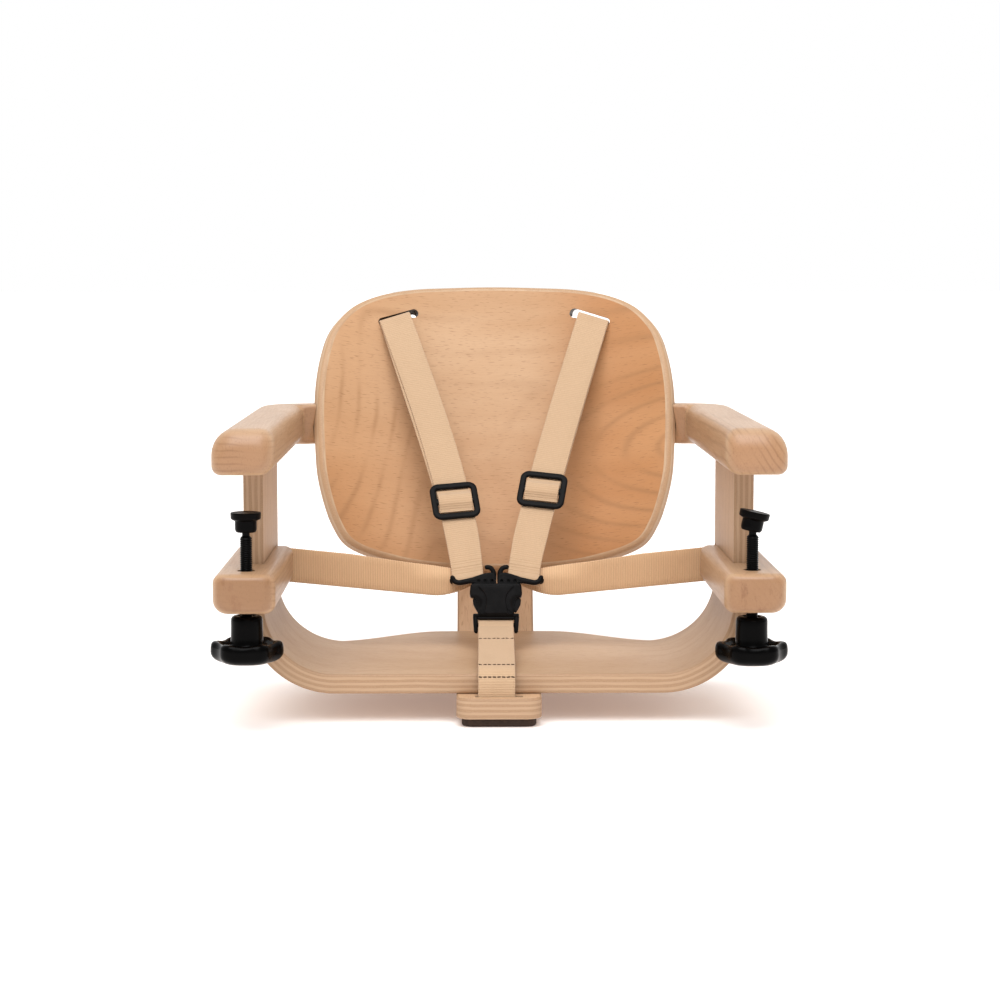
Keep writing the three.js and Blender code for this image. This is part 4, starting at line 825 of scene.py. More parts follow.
@dataclass(frozen=True)
class Webbing:
    """Ribbed woven strap: the map's x runs along it, and its ribs cross it at one pitch."""

    name: str
    pale: Colour = (0.515, 0.351, 0.219)
    deep: Colour = (0.345, 0.216, 0.121)
    yarn: float = 0.00085

    def material(self) -> bpy.types.Material:
        """Painted shade darkens each rib towards its grooves, and fine yarns cross them."""
        g = Graph(self.name)
        lay = g.lay()
        rib = g.wave(g.part(lay, "X"), RIB_PITCH * METRE)
        yarn = g.wave(g.part(lay, "Y"), self.yarn)
        fuzz = g.noise(lay, (900.0, 900.0, 1.0), 3.0, 0.7)
        worn = g.noise(lay, (30.0, 60.0, 1.0))
        # Painted shade: up to a third darker in each rib's groove.
        colour = g.blend(g.between(rib, 0.0, 0.5, (0.34, 0.0)), self.pale, self.deep)
        colour = g.blend(g.between(fuzz, 0.35, 0.75, (0.0, 0.2)), colour, self.deep)
        colour = g.blend(g.between(worn, 0.45, 0.7, (0.0, 0.1)), colour, self.deep)
        colour = g.blend(g.between(yarn, 0.0, 0.4, (0.1, 0.0)), colour, self.deep)
        g.set(Base_Color=colour, Roughness=0.82, Specular_IOR_Level=0.2)
        g.set(Sheen_Weight=0.25, Sheen_Roughness=0.5)
        g.relief(g.math("ADD", g.product(yarn, rib), g.product(fuzz, 0.5)), 0.00012, 0.6)
        return g.material


@dataclass(frozen=True)
class Moulded:
    """Black moulding, from satin to glossy, with a faint spark-eroded grain and a dull haze."""

    name: str
    roughness: tuple[float, float]
    tint: Colour = (0.005, 0.0048, 0.005)
    grain: float = 0.00002

    def material(self) -> bpy.types.Material:
        """Fine noise gives the grain, broad noise the haze."""
        g = Graph(self.name)
        solid = g.solid()
        grain = g.noise(solid, (2600.0, 2600.0, 2600.0))
        haze = g.noise(solid, (120.0, 120.0, 120.0), 3.0)
        lifted = tuple(1.7 * part for part in self.tint)
        g.set(Base_Color=g.blend(g.between(haze, 0.35, 0.75), self.tint, lifted))
        g.set(Roughness=g.between(haze, 0.25, 0.75, self.roughness), Specular_IOR_Level=0.05)
        g.relief(grain, self.grain, 0.4)
        return g.material


@dataclass(frozen=True)
class Metal:
    """Turned steel, black or zinc plated, with fine marks and a broken sheen."""

    name: str
    tint: Colour
    metallic: float
    roughness: tuple[float, float]

    def material(self) -> bpy.types.Material:
        """Fine noise scratches the sheen, broad noise stains the colour."""
        g = Graph(self.name)
        solid = g.solid()
        mark = g.noise(solid, (900.0, 900.0, 2400.0), 3.0)
        stain = g.noise(solid, (160.0, 160.0, 160.0), 3.0)
        dull = tuple(0.7 * part for part in self.tint)
        g.set(Base_Color=g.blend(g.between(stain, 0.4, 0.7), self.tint, dull), Metallic=self.metallic)
        g.set(Roughness=g.between(mark, 0.25, 0.75, self.roughness))
        g.relief(mark, 0.000008)
        return g.material


@dataclass(frozen=True)
class Plain:
    """A matt surface of two close tones: rubber, thread or the studio floor."""

    name: str
    tint: Colour
    other: Colour
    size: float
    roughness: float
    glow: Colour = (0.0, 0.0, 0.0)

    def material(self) -> bpy.types.Material:
        """Two tones mixed by noise of one feature size, in metres."""
        g = Graph(self.name)
        fine = g.noise(g.solid(), (1.0 / self.size,) * 3, 3.0, 0.6)
        g.set(Base_Color=g.blend(g.between(fine, 0.3, 0.7), self.tint, self.other))
        g.set(Roughness=self.roughness, Specular_IOR_Level=0.3)
        g.set(Emission_Color=self.glow, Emission_Strength=1.0)
        g.relief(fine, 0.1 * self.size, 0.3)
        return g.material


class Palette:
    """Every finish of the chair, made once."""

    def __init__(self) -> None:
        """Make the materials."""
        plain = ((-230, 120, 60, 18), (210, 240, 75, 20))
        # The backrest's veneer carries painted shade at its right, its left and low down, where its hollow
        # is darker.
        self.back_veneer = Veneer("back_veneer", side_and_low_shade=(0.9, 0.45, 0.4)).material()
        # The seat's veneer is paler up its side panels: painted light against their shade.
        self.seat_veneer = Veneer(
            "seat_veneer", (0.475, 0.318, 0.2), (0.41, 0.26, 0.152), 0.2, plain, rise=0.5).material()
        # The strip's veneer is paler than the backrest's: painted light against the shade under the seat and
        # behind the backrest.
        self.spine_veneer_painted_light = Veneer(
            "spine_veneer_painted_light", (0.58, 0.38, 0.235), (0.49, 0.305, 0.175), 0.26, plain).material()
        self.edge = PlyEdge("ply_edge").material()
        self.back_edge = PlyEdge(
            "back_edge", 2.6, (0.5, 0.342, 0.214), (0.45, 0.28, 0.16), (0.32, 0.185, 0.098), 0.3).material()
        # The slots' inner walls take a near-black banded edge: painted shade inside the slots.
        self.slot_painted_shade = PlyEdge(
            "slot_painted_shade", 2.6, (0.1, 0.06, 0.034), (0.07, 0.04, 0.022), (0.04, 0.022, 0.012), 0.3).material()
        self.beech = {
            Side.LEFT: Beech("beech_left", 82.0, ends=(0.315, 0.158, 0.073)).material(),
            Side.RIGHT: Beech("beech_right", 38.0).material(),
        }
        # The lower blocks' darker ends are painted shade cast by the arms above them; their blotches are the
        # wood's own.
        self.low_beech_blotched_and_shaded = {
            Side.LEFT: Beech(
                "beech_low_left_painted_shade", 82.0, ends=(0.236, 0.113, 0.048), blotch=0.5, rings=0.15).material(),
            Side.RIGHT: Beech(
                "beech_low_right_painted_shade", 38.0, ends=(0.278, 0.136, 0.06), blotch=0.7, rings=0.15).material(),
        }
        self.webbing = Webbing("webbing").material()
        # The waist straps use the same webbing made paler and warmer: painted light against the shade they
        # stand in.
        self.waist = Webbing("webbing_waist_painted_light", (0.605, 0.388, 0.225), (0.4, 0.243, 0.131)).material()
        self.thread = Plain("thread", (0.06, 0.036, 0.022), (0.11, 0.065, 0.04), 0.0004, 0.8).material()
        self.gloss = Moulded("knob_gloss", (0.16, 0.26), (0.0007, 0.0006, 0.0006), 0.00001).material()
        self.satin = Moulded("satin_black", (0.34, 0.46)).material()
        self.pad_black = Moulded("pad_black", (0.3, 0.42), (0.0012, 0.001, 0.001)).material()
        self.black_steel = Metal("black_oxide", (0.004, 0.0038, 0.004), 0.85, (0.3, 0.45)).material()
        self.zinc = Metal("zinc_plate", (0.6, 0.61, 0.62), 1.0, (0.24, 0.4)).material()
        self.rubber = Plain(
            "foot_rubber", (0.032, 0.018, 0.012), (0.045, 0.026, 0.018), 0.002, 0.75).material()


@dataclass
class Sheet:
    """A flat outline of one thickness, bent to its place: two faces and a rounded rim."""

    thickness: float
    edge: float
    bend: Bend

    def cover(self, skin: Skin, face: Array, rim: Array, banded: int = 1) -> Skin:
        """Add both faces and the rim to a skin.

        The rim starts on the face's border and goes out along a quarter circle, down the side and in again.

        Args:
            skin: the skin that takes the grids.
            face: grid of flat points, inside the outline by the edge radius.
            rim: closed line round the face.
            banded: number of the rim's finish.

        Returns:
            The skin.
        """
        for depth in (0.0, self.thickness):
            skin.add(self.bend(face[..., 0], face[..., 1], depth), face, 0)
        quarter = np.linspace(0.0, math.pi / 2.0, 7)
        push = self.edge * np.sin(quarter)
        sink = self.edge * (1.0 - np.cos(quarter))
        push = np.concatenate([push, push[::-1]])
        sink = np.concatenate([sink, self.thickness - sink[::-1]])[:, None]
        loop = rim[None] + push[:, None, None] * outward_normals(rim)[None]
        wall = self.bend(loop[..., 0], loop[..., 1], sink)
        return skin.add(wall, spots(lengths(rim)[None, :], sink), banded)

    def disc(self, outline: Array, middle: Sequence[float] = (0.0, 0.0),
             rings: int = 10) -> tuple[Array, Array]:
        """A face of shrinking rings inside a closed outline, and its rim, moved in by the edge radius."""
        rim = outline - self.edge * outward_normals(outline)
        share = np.linspace(0.0, 1.0, rings + 1)[:, None, None]
        centre = np.asarray(middle, dtype=np.float64)
        return centre + share * (rim - centre)[None], rim


@dataclass
class BackFrame:
    """The hollow of the backrest: across along its curve, up its lean, and behind its face."""

    lean: float = math.radians(24.0)
    radius: float = 275.0
    origin: Sequence[float] = (0.0, 311.2655, 195.003)

    def __post_init__(self) -> None:
        """Work out the directions up the lean and towards the sitter."""
        self.up = np.array([0.0, math.sin(self.lean), math.cos(self.lean)])
        self.facing = np.array([0.0, -math.cos(self.lean), math.sin(self.lean)])

    def at(self, along: Array | float, up: Array | float, depth: Array | float) -> Array:
        """Points of the backrest: a cylinder of the hollow's radius plus the depth, carried up the lean."""
        angle = np.asarray(along) / self.radius
        reach = self.radius + depth
        flat = spots(reach * np.sin(angle), up, self.radius - reach * np.cos(angle))
        return Place(np.asarray(self.origin), np.array([1.0, 0.0, 0.0]), self.up, self.facing).at(flat)

    def outward(self, along: float) -> Array:
        """The direction out of the hollow face at a place along its curve."""
        angle = along / self.radius
        return self.facing * math.cos(angle) + np.array([-math.sin(angle), 0.0, 0.0])

    def up_at(self, height: float, along: float, depth: float) -> float:
        """How far up the lean a height lies."""
        level = self.at(along, 0.0, depth)[2]
        return float((height - level) / self.up[2])


@dataclass
class StrapFrame:
    """The plane of a shoulder strap, from the hook on the right-hand tongue to the slot in the backrest."""

    hook: Array = field(default_factory=lambda: np.array([21.5, 174.80292, 82.05147]))
    along: Array = field(default_factory=lambda: np.array([0.225528, 0.620057, 0.751443]))
    facing: Array = field(default_factory=lambda: np.array([-0.053345, -0.762298, 0.645024]))
    length: float = 245.76
    slot_across: float = 79.0

    def __post_init__(self) -> None:
        """Work out the direction across the strap, and the way into the slot in the strap's side view."""
        self.along, self.facing = unit(self.along), unit(self.facing)
        self.across = np.cross(self.along, self.facing)
        inward = -BackFrame().outward(self.slot_across)
        self.slot_in = unit(np.array([inward @ self.along, inward @ self.facing]))
        self.place = Place(self.hook, self.along, self.facing, self.across)

    def at(self, side_view: Array, across: Array | float = 0.0) -> Array:
        """Points from their place in the side view and across the strap."""
        return self.place.at(spots(side_view[..., 0], side_view[..., 1], across))


def stadium(length: float, height: float, count: int = 24) -> Array:
    """A closed long hole outline with half-round ends."""
    end = height / 2.0
    straight = length / 2.0 - end
    return np.concatenate([
        arc((straight, 0.0), end, -90.0, 90.0, count),
        arc((-straight, 0.0), end, 90.0, 270.0, count),
        [[straight, -end]],
    ])


def prism(name: str, outline: Array, place: Place, low: float, high: float, *finishes: bpy.types.Material,
          sign: float = 1.0, finish: int = 0) -> bpy.types.Object:
    """A straight tool with a closed outline, from one depth to another along its place's z."""
    depth = np.linspace(low, high, 3)[:, None]
    rings = place.at(spots(outline[None, :, 0], outline[None, :, 1], depth))
    skin = Skin(name, *finishes, sign=sign)
    lay = spots(lengths(outline)[None, :], depth)
    return skin.sweep(rings, finish, lay).build()


def block_tool(name: str, low: Sequence[float], high: Sequence[float], *finishes: bpy.types.Material,
               sign: float = 1.0, finish: int = 0) -> bpy.types.Object:
    """A plain straight-sided tool between two corners."""
    first, last = np.asarray(low, dtype=np.float64), np.asarray(high, dtype=np.float64)
    ring = np.array([[0, 0], [1, 0], [1, 1], [0, 1], [0, 0]], dtype=np.float64) * (last - first)[:2]
    place = Place(first, *np.eye(3))
    return prism(name, ring, place, 0.0, float((last - first)[2]), *finishes, sign=sign, finish=finish)


@dataclass
class Backrest:
    """Moulded panel, hollow towards the child, with a sloping slot for each shoulder strap."""

    ply: float = 12.0
    edge: float = 4.2
    half_width: float = 138.3
    rise: float = 105.0
    drop: float = 127.0
    slot_length: float = 33.4
    slot_height: float = 7.0
    slot_shift: float = -3.6
    slot_tilts: dict[Side, Sequence[float]] = field(
        default_factory=lambda: {Side.LEFT: (0.0,), Side.RIGHT: (0.0, 18.0)})
    frame: BackFrame = field(default_factory=BackFrame)
    strap: StrapFrame = field(default_factory=StrapFrame)

    def outline(self, count: int = 220) -> Array:
        """The flat outline, through shares of the half width, the rise and the drop."""
        upper = np.array([
            [0, 1], [0.23, 0.986], [0.46, 0.948], [0.65, 0.871], [0.79, 0.762], [0.875, 0.64], [0.93, 0.52],
            [0.97, 0.34], [0.995, 0.12],
        ]) * (1.0, self.rise)
        lower = np.array([
            [1, 0.095], [0.99, 0.312], [0.974, 0.482], [0.93, 0.661], [0.885, 0.777], [0.805, 0.89],
            [0.52, 0.975], [0.2, 1], [0, 1],
        ]) * (1.0, -self.drop)
        half = np.concatenate([upper, lower])
        whole = np.concatenate([half, half[-2:0:-1] * (-1.0, 1.0)])
        return closed_curve(whole * (self.half_width, 1.0), count)

    def slot_tool(self, finishes: Sequence[bpy.types.Material], sign: float,
                  tilt: float) -> bpy.types.Object:
        """The long hole along the strap's way into the slot, its far end lifted by a tilt in degrees."""
        strap = self.strap
        across = unit(strap.across - SLOT_SLOPE * strap.along)
        inward = strap.along * strap.slot_in[0] + strap.facing * strap.slot_in[1]
        rise = np.cross(across, unit(inward))
        corner = strap.at(np.array([strap.length, 0.0]) + strap.slot_in * SLOT_STAND_OFF)
        cosine, sine = math.cos(math.radians(tilt)), math.sin(math.radians(tilt))
        upward, through = rise * cosine - inward * sine, inward * cosine + rise * sine
        place = Place(corner + self.slot_shift * across, across, upward, through)
        outline = stadium(self.slot_length, self.slot_height)
        return prism("slot", outline, place, -24.0, 36.0, *finishes, sign=sign, finish=2)

    def space(self, ahead: float) -> bpy.types.Object:
        """The room that the panel takes up, grown towards the sitter, to fit the arm tails against."""
        thickness = self.ply + ahead + 2.0 * FIT
        sheet = Sheet(thickness, 2.2, lambda a, b, d: self.frame.at(a, b, d - ahead - FIT))
        outline = self.outline(120)
        grown = outline + FIT * outward_normals(outline)
        return sheet.cover(Skin("back_space"), *sheet.disc(grown), 0).build()

    def dress(self, palette: Palette) -> None:
        """Build the panel."""
        sheet = Sheet(self.ply, self.edge, self.frame.at)
        # The third finish paints shade on the walls of the strap slots.
        finishes = (palette.back_veneer, palette.back_edge, palette.slot_painted_shade)
        skin = sheet.cover(Skin("backrest_panel", *finishes), *sheet.disc(self.outline(), rings=16))
        slots = [
            self.slot_tool(finishes, side.sign, tilt)
            for side in Side for tilt in self.slot_tilts[side]
        ]
        deliver(carve(skin.build(), *slots), "frame", Slot.PLYWOOD, "backrest")


@dataclass
class Strip:
    """The plywood strip that runs under the seat and bends up behind the back as its spine."""

    width: float = 57.0
    thickness: float = 14.0
    edge: float = 1.3
    corner: float = 10.0
    front: float = 41.5
    top: float = 20.0
    bend_radius: float = 32.0
    bend_start: float = 226.032
    turn: float = math.radians(66.0)
    spine: float = 215.0
    slot: Sequence[float] = (50.3, 32.0, 2.2)
    pocket: Sequence[float] = (36.0, 5.0, 15.8)

    def bend(self, along: Array, across: Array, depth: Array) -> Array:
        """Points of the strip: level, then round the bend's centre, then straight up the lean."""
        level = np.minimum(along, self.bend_start - self.front)
        angle = np.clip((along - level) / self.bend_radius, 0.0, self.turn)
        climb = np.maximum(0.0, along - level - self.bend_radius * self.turn)
        reach = self.bend_radius + depth
        return spots(
            across,
            self.front + level + reach * np.sin(angle) + climb * math.cos(self.turn),
            self.top + self.bend_radius - reach * np.cos(angle) + climb * math.sin(self.turn),
        )

    def shape(self, swell: float) -> tuple[Sheet, Array]:
        """The strip as a sheet, grown by a margin on its long faces, and the grid of its face."""
        thickness = self.thickness + 2.0 * swell
        sheet = Sheet(thickness, self.edge, lambda a, b, d: self.bend(a, b, d - swell))
        total = self.bend_start - self.front + self.bend_radius * self.turn + self.spine
        corner = self.corner - self.edge
        rounding = corner * (1.0 - np.cos(np.linspace(0.0, math.pi / 2.0, 10)))
        start = self.edge + rounding
        level = np.linspace(start[-1], self.bend_start - self.front, 24)[1:]
        around = level[-1] + np.linspace(0.0, self.bend_radius * self.turn, 22)[1:]
        climb = np.linspace(around[-1], total - start[-1], 26)[1:]
        along = np.concatenate([start, level, around, climb, total - start[-2::-1]])
        near = np.minimum(along, total - along) - self.edge
        half = self.width / 2.0 + swell - self.edge - draw_in(corner, near)
        return sheet, spots(along[:, None], half[:, None] * np.linspace(-1.0, 1.0, 15)[None, :])

    def space(self) -> bpy.types.Object:
        """The room that the strip takes up where it passes the seat."""
        sheet, face = self.shape(FIT)
        return sheet.cover(Skin("strip_space"), face, border(face), 0).build()

    def dress(self, palette: Palette, holes: Sequence[bpy.types.Object]) -> None:
        """Build the strip with the crotch strap's slot, its pin pocket and the screw holes."""
        sheet, face = self.shape(0.0)
        finishes = (palette.spine_veneer_painted_light, palette.edge)
        strip = sheet.cover(Skin("strip_and_spine", *finishes), face, border(face)).build()
        y, length, reach = self.slot
        slot = block_tool(
            "crotch_slot", (-length / 2, y - reach, -5), (length / 2, y + reach, 40), *finishes, finish=1)
        wide, deep, high = self.pocket
        pocket = block_tool(
            "pin_pocket", (-wide / 2, y - deep, -5), (wide / 2, y + deep, high), *finishes, finish=1)
        deliver(carve(strip, slot, pocket, *holes), "frame", Slot.PLYWOOD, "back_spine")


@dataclass
class SeatShell:
    """One moulded sheet: the seat and both side panels, its rear edge drawn out to a tongue."""

    ply: float = 13.0
    edge: float = 1.5
    inner_width: float = 314.0
    bend_radius: float = 47.0
    front: float = 60.0
    top: float = 33.3
    side_top: float = 184.0
    side_depth: float = 124.0
    seat_side_depth: float = 146.0
    seat_depth: float = 192.0
    tongue: Sequence[float] = (40.0, 116.0)
    sweep: float = 30.0
    slot: Sequence[float] = (176.0, 94.0, 29.0, 4.4)

    def __post_init__(self) -> None:
        """Work out where the bends start and how long they are, along the middle of the sheet."""
        self.flat = self.inner_width / 2.0 - self.bend_radius
        self.middle_radius = self.bend_radius + self.ply / 2.0
        self.bend_length = self.middle_radius * math.pi / 2.0
        self.total = self.flat + self.bend_length + self.side_top - self.top - self.bend_radius

    def rear(self, along: Array) -> Array:
        """How far back the sheet reaches: the tongue, then the sides, with smooth steps between."""
        reach = np.abs(along)
        drawn = smoothstep(reach, *self.tongue)
        swept = smoothstep(reach, self.tongue[1], self.flat + self.bend_length + self.sweep)
        return (
            self.front + self.seat_depth - (self.seat_depth - self.seat_side_depth) * drawn
            - (self.seat_side_depth - self.side_depth) * swept
        )

    def bend(self, along: Array, back: Array, depth: Array) -> Array:
        """Points of the sheet: flat, then round each bend, then straight up; depth from the inner face."""
        reach, side = np.abs(along), np.sign(along)
        angle = np.clip((reach - self.flat) / self.middle_radius, 0.0, math.pi / 2.0)
        climb = np.maximum(0.0, reach - self.flat - self.bend_length)
        radius = self.bend_radius + depth
        return spots(
            side * (np.minimum(reach, self.flat) + radius * np.sin(angle)),
            back,
            self.top + self.bend_radius - radius * np.cos(angle) + climb,
        )

    def dress(self, palette: Palette, strip: Strip) -> None:
        """Build the shell, fitted round the spine and slotted for the waist straps."""
        sheet = Sheet(self.ply, self.edge, self.bend)
        half = np.concatenate([
            np.linspace(0.0, self.flat, 26), self.flat + np.linspace(0.0, self.bend_length, 28)[1:],
            np.linspace(self.flat + self.bend_length, self.total - self.edge, 20)[1:],
        ])
        along = np.concatenate([-half[:0:-1], half])
        share = np.linspace(0.0, 1.0, 31)[None, :]
        first, last = self.front + self.edge, self.rear(along)[:, None] - self.edge
        face = spots(along[:, None], first + share * (last - first))
        finishes = (palette.seat_veneer, palette.edge)
        shell = sheet.cover(Skin("seat_shell_sheet", *finishes), face, border(face)).build()
        y, z, length, width = self.slot
        through = np.eye(3)[::-1]
        place = Place(np.array([self.inner_width / 2.0, y, z]), *through)
        hole = stadium(length, width, 12)
        slots = [
            prism("waist_slot", hole, place, -12.0, 26.0, *finishes, sign=side.sign, finish=1)
            for side in Side
        ]
        deliver(carve(shell, strip.space(), *slots), "frame", Slot.PLYWOOD, "seat_shell")

    def panel_room(self, name: str, finish: bpy.types.Material, sign: float, back: float, low: float,
                   high: float) -> bpy.types.Object:
        """A tool for the room that a side panel takes up.

        Args:
            name: the tool's name.
            finish: finish of the cut faces.
            sign: minus one on the left.
            back: how far back the room reaches.
            low: its lowest height.
            high: its highest height.

        Returns:
            The tool.
        """
        inside, front = self.inner_width / 2.0 - FIT, self.front - FIT
        outside = inside + self.ply + 2.0 * FIT
        return block_tool(name, (inside, front, low), (outside, back, high), finish, finish, sign=sign)


@dataclass
class WoodScrew:
    """A zinc plated screw with a sunk head and a six-sided drive hole."""

    head: float = 5.0
    height: float = 2.6
    shank: float = 2.5
    drive: float = 2.0

    def place(self, point: Array, inward: Array) -> Place:
        """The screw's place: its head's face under a surface, z out of the surface."""
        out = -unit(np.asarray(inward, dtype=np.float64))
        guide = np.array([0.0, 0.0, 1.0]) if abs(out[2]) < 0.9 else np.array([0.0, 1.0, 0.0])
        x = unit(np.cross(guide, out))
        return Place(np.asarray(point) - FIT * out, x, np.cross(out, x), out)

    def hole(self, place: Place, finish: bpy.types.Material, sign: float = 1.0) -> bpy.types.Object:
        """The tool for the head's round recess."""
        outline = arc((0.0, 0.0), self.head + FIT, 0.0, 360.0, 40)
        bottom = -self.height - FIT
        return prism("screw_hole", outline, place, bottom, 6.0, finish, finish, sign=sign, finish=1)

    def dress(self, palette: Palette, name: str, place: Place, length: float, sign: float = 1.0) -> None:
        """Build one screw: drive hole, eased head and shank, as rings turned about its axis."""
        angle = np.linspace(0.0, TURN, 49)[None, :]
        sixth = np.mod(angle, TURN / 6.0) - TURN / 12.0
        flats = self.drive / np.cos(sixth)
        rows = [(0.0, -1.6), (1.0, -1.6), (1.0, -0.1), (1.06, 0.0)]
        drive = [spots(share * flats * np.cos(angle), share * flats * np.sin(angle), z) for share, z in rows]
        wall = eased([
            (self.head * 0.8, 0.0), (self.head, 0.0), (self.head, -self.height),
            (self.shank, -self.height - 1.0), (self.shank, 3.0 - length), (0.0, -length),
        ], 0.5)
        body = lathe(wall, 48)
        grid = np.concatenate([*drive, body])
        piece = Skin(f"{name}_sunk", palette.zinc, sign=sign).add(place.at(grid)).build(30.0)
        deliver(piece, "frame", Slot.ZINC, name)


@dataclass
class UpperArm:
    """Beech arm, rounded in front, whose tail turns in behind the backrest."""

    width: float = ARM_WIDTH
    thickness: float = 30.0
    underside: float = 172.0
    turn: float = math.radians(66.0)
    inner_corner: float = 3.0
    tail_lead: float = 8.0
    tail_width: float = 26.0
    tail_length: float = 48.0
    nose_top: float = 14.0
    nose_under: float = 7.0
    nose_side: float = 9.0
    front_radii: Sequence[float] = (16.0, 9.0, 10.0, 6.0)
    tail_radii: Sequence[float] = (6.0, 3.0, 3.0, 4.0)
    screw_across: float = 112.0
    screw_grip: float = 18.0
    screw_length: float = 24.0
    tenon_depth: float = 12.0
    clear_ahead: float = 52.0

    def straight(self, back: Backrest) -> float:
        """How far back the arm runs before it turns in, from the edge of the backrest."""
        frame = back.frame
        up = frame.up_at(self.underside + self.thickness / 2.0, back.half_width, back.ply)
        edge = frame.at(back.half_width, up, back.ply)
        return float(edge[1]) - self.tail_lead

    def rings(self, straight: float) -> Array:
        """Rounded sections along the arm: drawn in at the nose, straight, turned in, then the tail."""
        nose = self.nose_top * (1.0 - np.cos(np.linspace(0.0, math.pi / 2.0, 18)))
        run = np.concatenate([nose, np.linspace(nose[-1], straight, 8)[1:]])
        inner = ARM_X - self.width / 2.0
        side = draw_in(self.nose_side, run)
        low = draw_in(self.nose_under, run)
        high = self.thickness - draw_in(self.nose_top, run)
        share = np.linspace(0.0, 1.0, 22)[1:]
        angle = share * self.turn
        count, bent = run.size, share.size
        ones = np.ones(count)
        start_x = np.concatenate([inner + side, inner - self.inner_corner * (1.0 - np.cos(angle))])
        start_y = np.concatenate([run, straight + self.inner_corner * np.sin(angle)])
        tail = self.width + (self.tail_width - self.width) * share
        width = np.concatenate([self.width - 2.0 * side, tail])
        low = np.concatenate([low, np.zeros(bent)])
        high = np.concatenate([high, np.full(bent, self.thickness)])
        lead_x, lead_y = np.concatenate([ones, np.cos(angle)]), np.concatenate([0.0 * ones, np.sin(angle)])
        mix = np.concatenate([0.0 * ones, share])[:, None]
        radii = np.array(self.front_radii)[None, :] * (1.0 - mix) + np.array(self.tail_radii)[None, :] * mix
        tail = np.array([-math.sin(self.turn), math.cos(self.turn)]) * self.tail_length
        start_x = np.append(start_x, start_x[-1] + tail[0])
        start_y = np.append(start_y, start_y[-1] + tail[1])
        width, low, high = (np.append(values, values[-1]) for values in (width, low, high))
        lead_x, lead_y = np.append(lead_x, lead_x[-1]), np.append(lead_y, lead_y[-1])
        radii = np.concatenate([radii, radii[-1:]])
        ring = rounded_rings(width, high - low, radii, 7)
        out = ring[..., 0] + width[:, None] / 2.0
        return spots(
            start_x[:, None] + lead_x[:, None] * out,
            start_y[:, None] + lead_y[:, None] * out,
            self.underside + (low + high)[:, None] / 2.0 + ring[..., 1],
        )

    def dress(self, palette: Palette, side: Side, back: Backrest, shell: SeatShell,
              screw: WoodScrew) -> None:
        """Build one arm, fitted behind the backrest and over the side panel, with its tail screw."""
        finish = palette.beech[side]
        skin = Skin(side.name_of("upper_arm_beech"), finish, finish, sign=side.sign)
        arm = skin.sweep(self.rings(self.straight(back))).build(WOOD_CREASE)
        frame = back.frame
        middle_z = self.underside + self.thickness / 2.0
        up = frame.up_at(middle_z, self.screw_across, back.ply + self.screw_grip / 2.0)
        point = frame.at(self.screw_across, up, back.ply + self.screw_grip)
        place = screw.place(point, frame.outward(self.screw_across))
        rear, top = shell.front + shell.side_depth + FIT, shell.side_top + FIT
        panel = shell.panel_room("tenon", finish, side.sign, rear, self.underside - self.tenon_depth, top)
        room = back.space(self.clear_ahead)
        carve(arm, room, panel, screw.hole(place, finish, side.sign), crease=WOOD_CREASE)
        deliver(arm, "frame", Slot.BEECH, side.name_of("upper_arm"))
        screw.dress(palette, side.name_of("arm_tail_screw"), place, self.screw_length, side.sign)


@dataclass
class LowerArm:
    """Beech block that straddles the side panel and carries the clamp screw."""

    width: float = ARM_WIDTH
    thickness: float = 26.0
    underside: float = 82.3
    length: float = 170.0
    edge: float = 6.0
    nose: float = 8.0
    corner_shares: Sequence[float] = (1.0, 1.0, 1.2, 1.5)
    fork: Sequence[float] = (190.0, 60.0, 130.0)
    cross_screws: Sequence[tuple[str, float]] = (("front", 92.0), ("rear", 142.0))
    screw_length: float = 32.0

    @property
    def middle_z(self) -> float:
        """Height of the middle of the block."""
        return self.underside + self.thickness / 2.0

    def rings(self) -> Array:
        """Rounded sections along the block, drawn in at both ends."""
        nose = self.nose * (1.0 - np.cos(np.linspace(0.0, math.pi / 2.0, 14)))
        middle = np.linspace(nose[-1], self.length - nose[-1], 8)[1:-1]
        along = np.concatenate([nose, middle, self.length - nose[::-1]])
        inset = draw_in(self.nose, np.minimum(along, self.length - along))
        radii = np.full((along.size, 4), self.edge) * self.corner_shares
        ring = rounded_rings(self.width - 2.0 * inset, self.thickness - inset, radii, 6)
        return spots(ARM_X + ring[..., 0], along[:, None], self.middle_z + ring[..., 1])

    def insert_tool(self, finish: bpy.types.Material, sign: float) -> bpy.types.Object:
        """The stepped hole for the threaded insert."""
        top, bottom = self.underside + self.thickness + 9.0, self.underside - 9.0
        step = self.underside + self.thickness - 4.8
        profile = np.array([(0, top), (5.9, top), (5.9, step), (5.4, step), (5.4, bottom), (0, bottom)])
        grid = lathe(profile, 40) + (ARM_X, CLAMP_Y, 0.0)
        return Skin("insert_hole", finish, finish, sign=sign).add(grid, None, 1).build()

    def dress(self, palette: Palette, side: Side, shell: SeatShell, screw: WoodScrew) -> None:
        """Build one block with its fork, its insert hole and its cross screws."""
        # The lower block takes the beech whose darker ends are painted shade.
        finish = palette.low_beech_blotched_and_shaded[side]
        skin = Skin(side.name_of("lower_arm_beech"), finish, finish, sign=side.sign)
        arm = skin.sweep(self.rings()).build(WOOD_CREASE)
        fork = shell.panel_room("fork", finish, side.sign, *self.fork)
        outside, inward = ARM_X + self.width / 2.0, np.array([-1.0, 0.0, 0.0])
        places = {
            name: screw.place(np.array([outside, y, self.middle_z]), inward)
            for name, y in self.cross_screws
        }
        holes = [screw.hole(place, finish, side.sign) for place in places.values()]
        carve(arm, fork, self.insert_tool(finish, side.sign), *holes, crease=WOOD_CREASE)
        deliver(arm, "frame", Slot.BEECH, side.name_of("lower_arm"))
        for name, place in places.items():
            full_name = side.name_of(f"lower_arm_screw_{name}")
            screw.dress(palette, full_name, place, self.screw_length, side.sign)


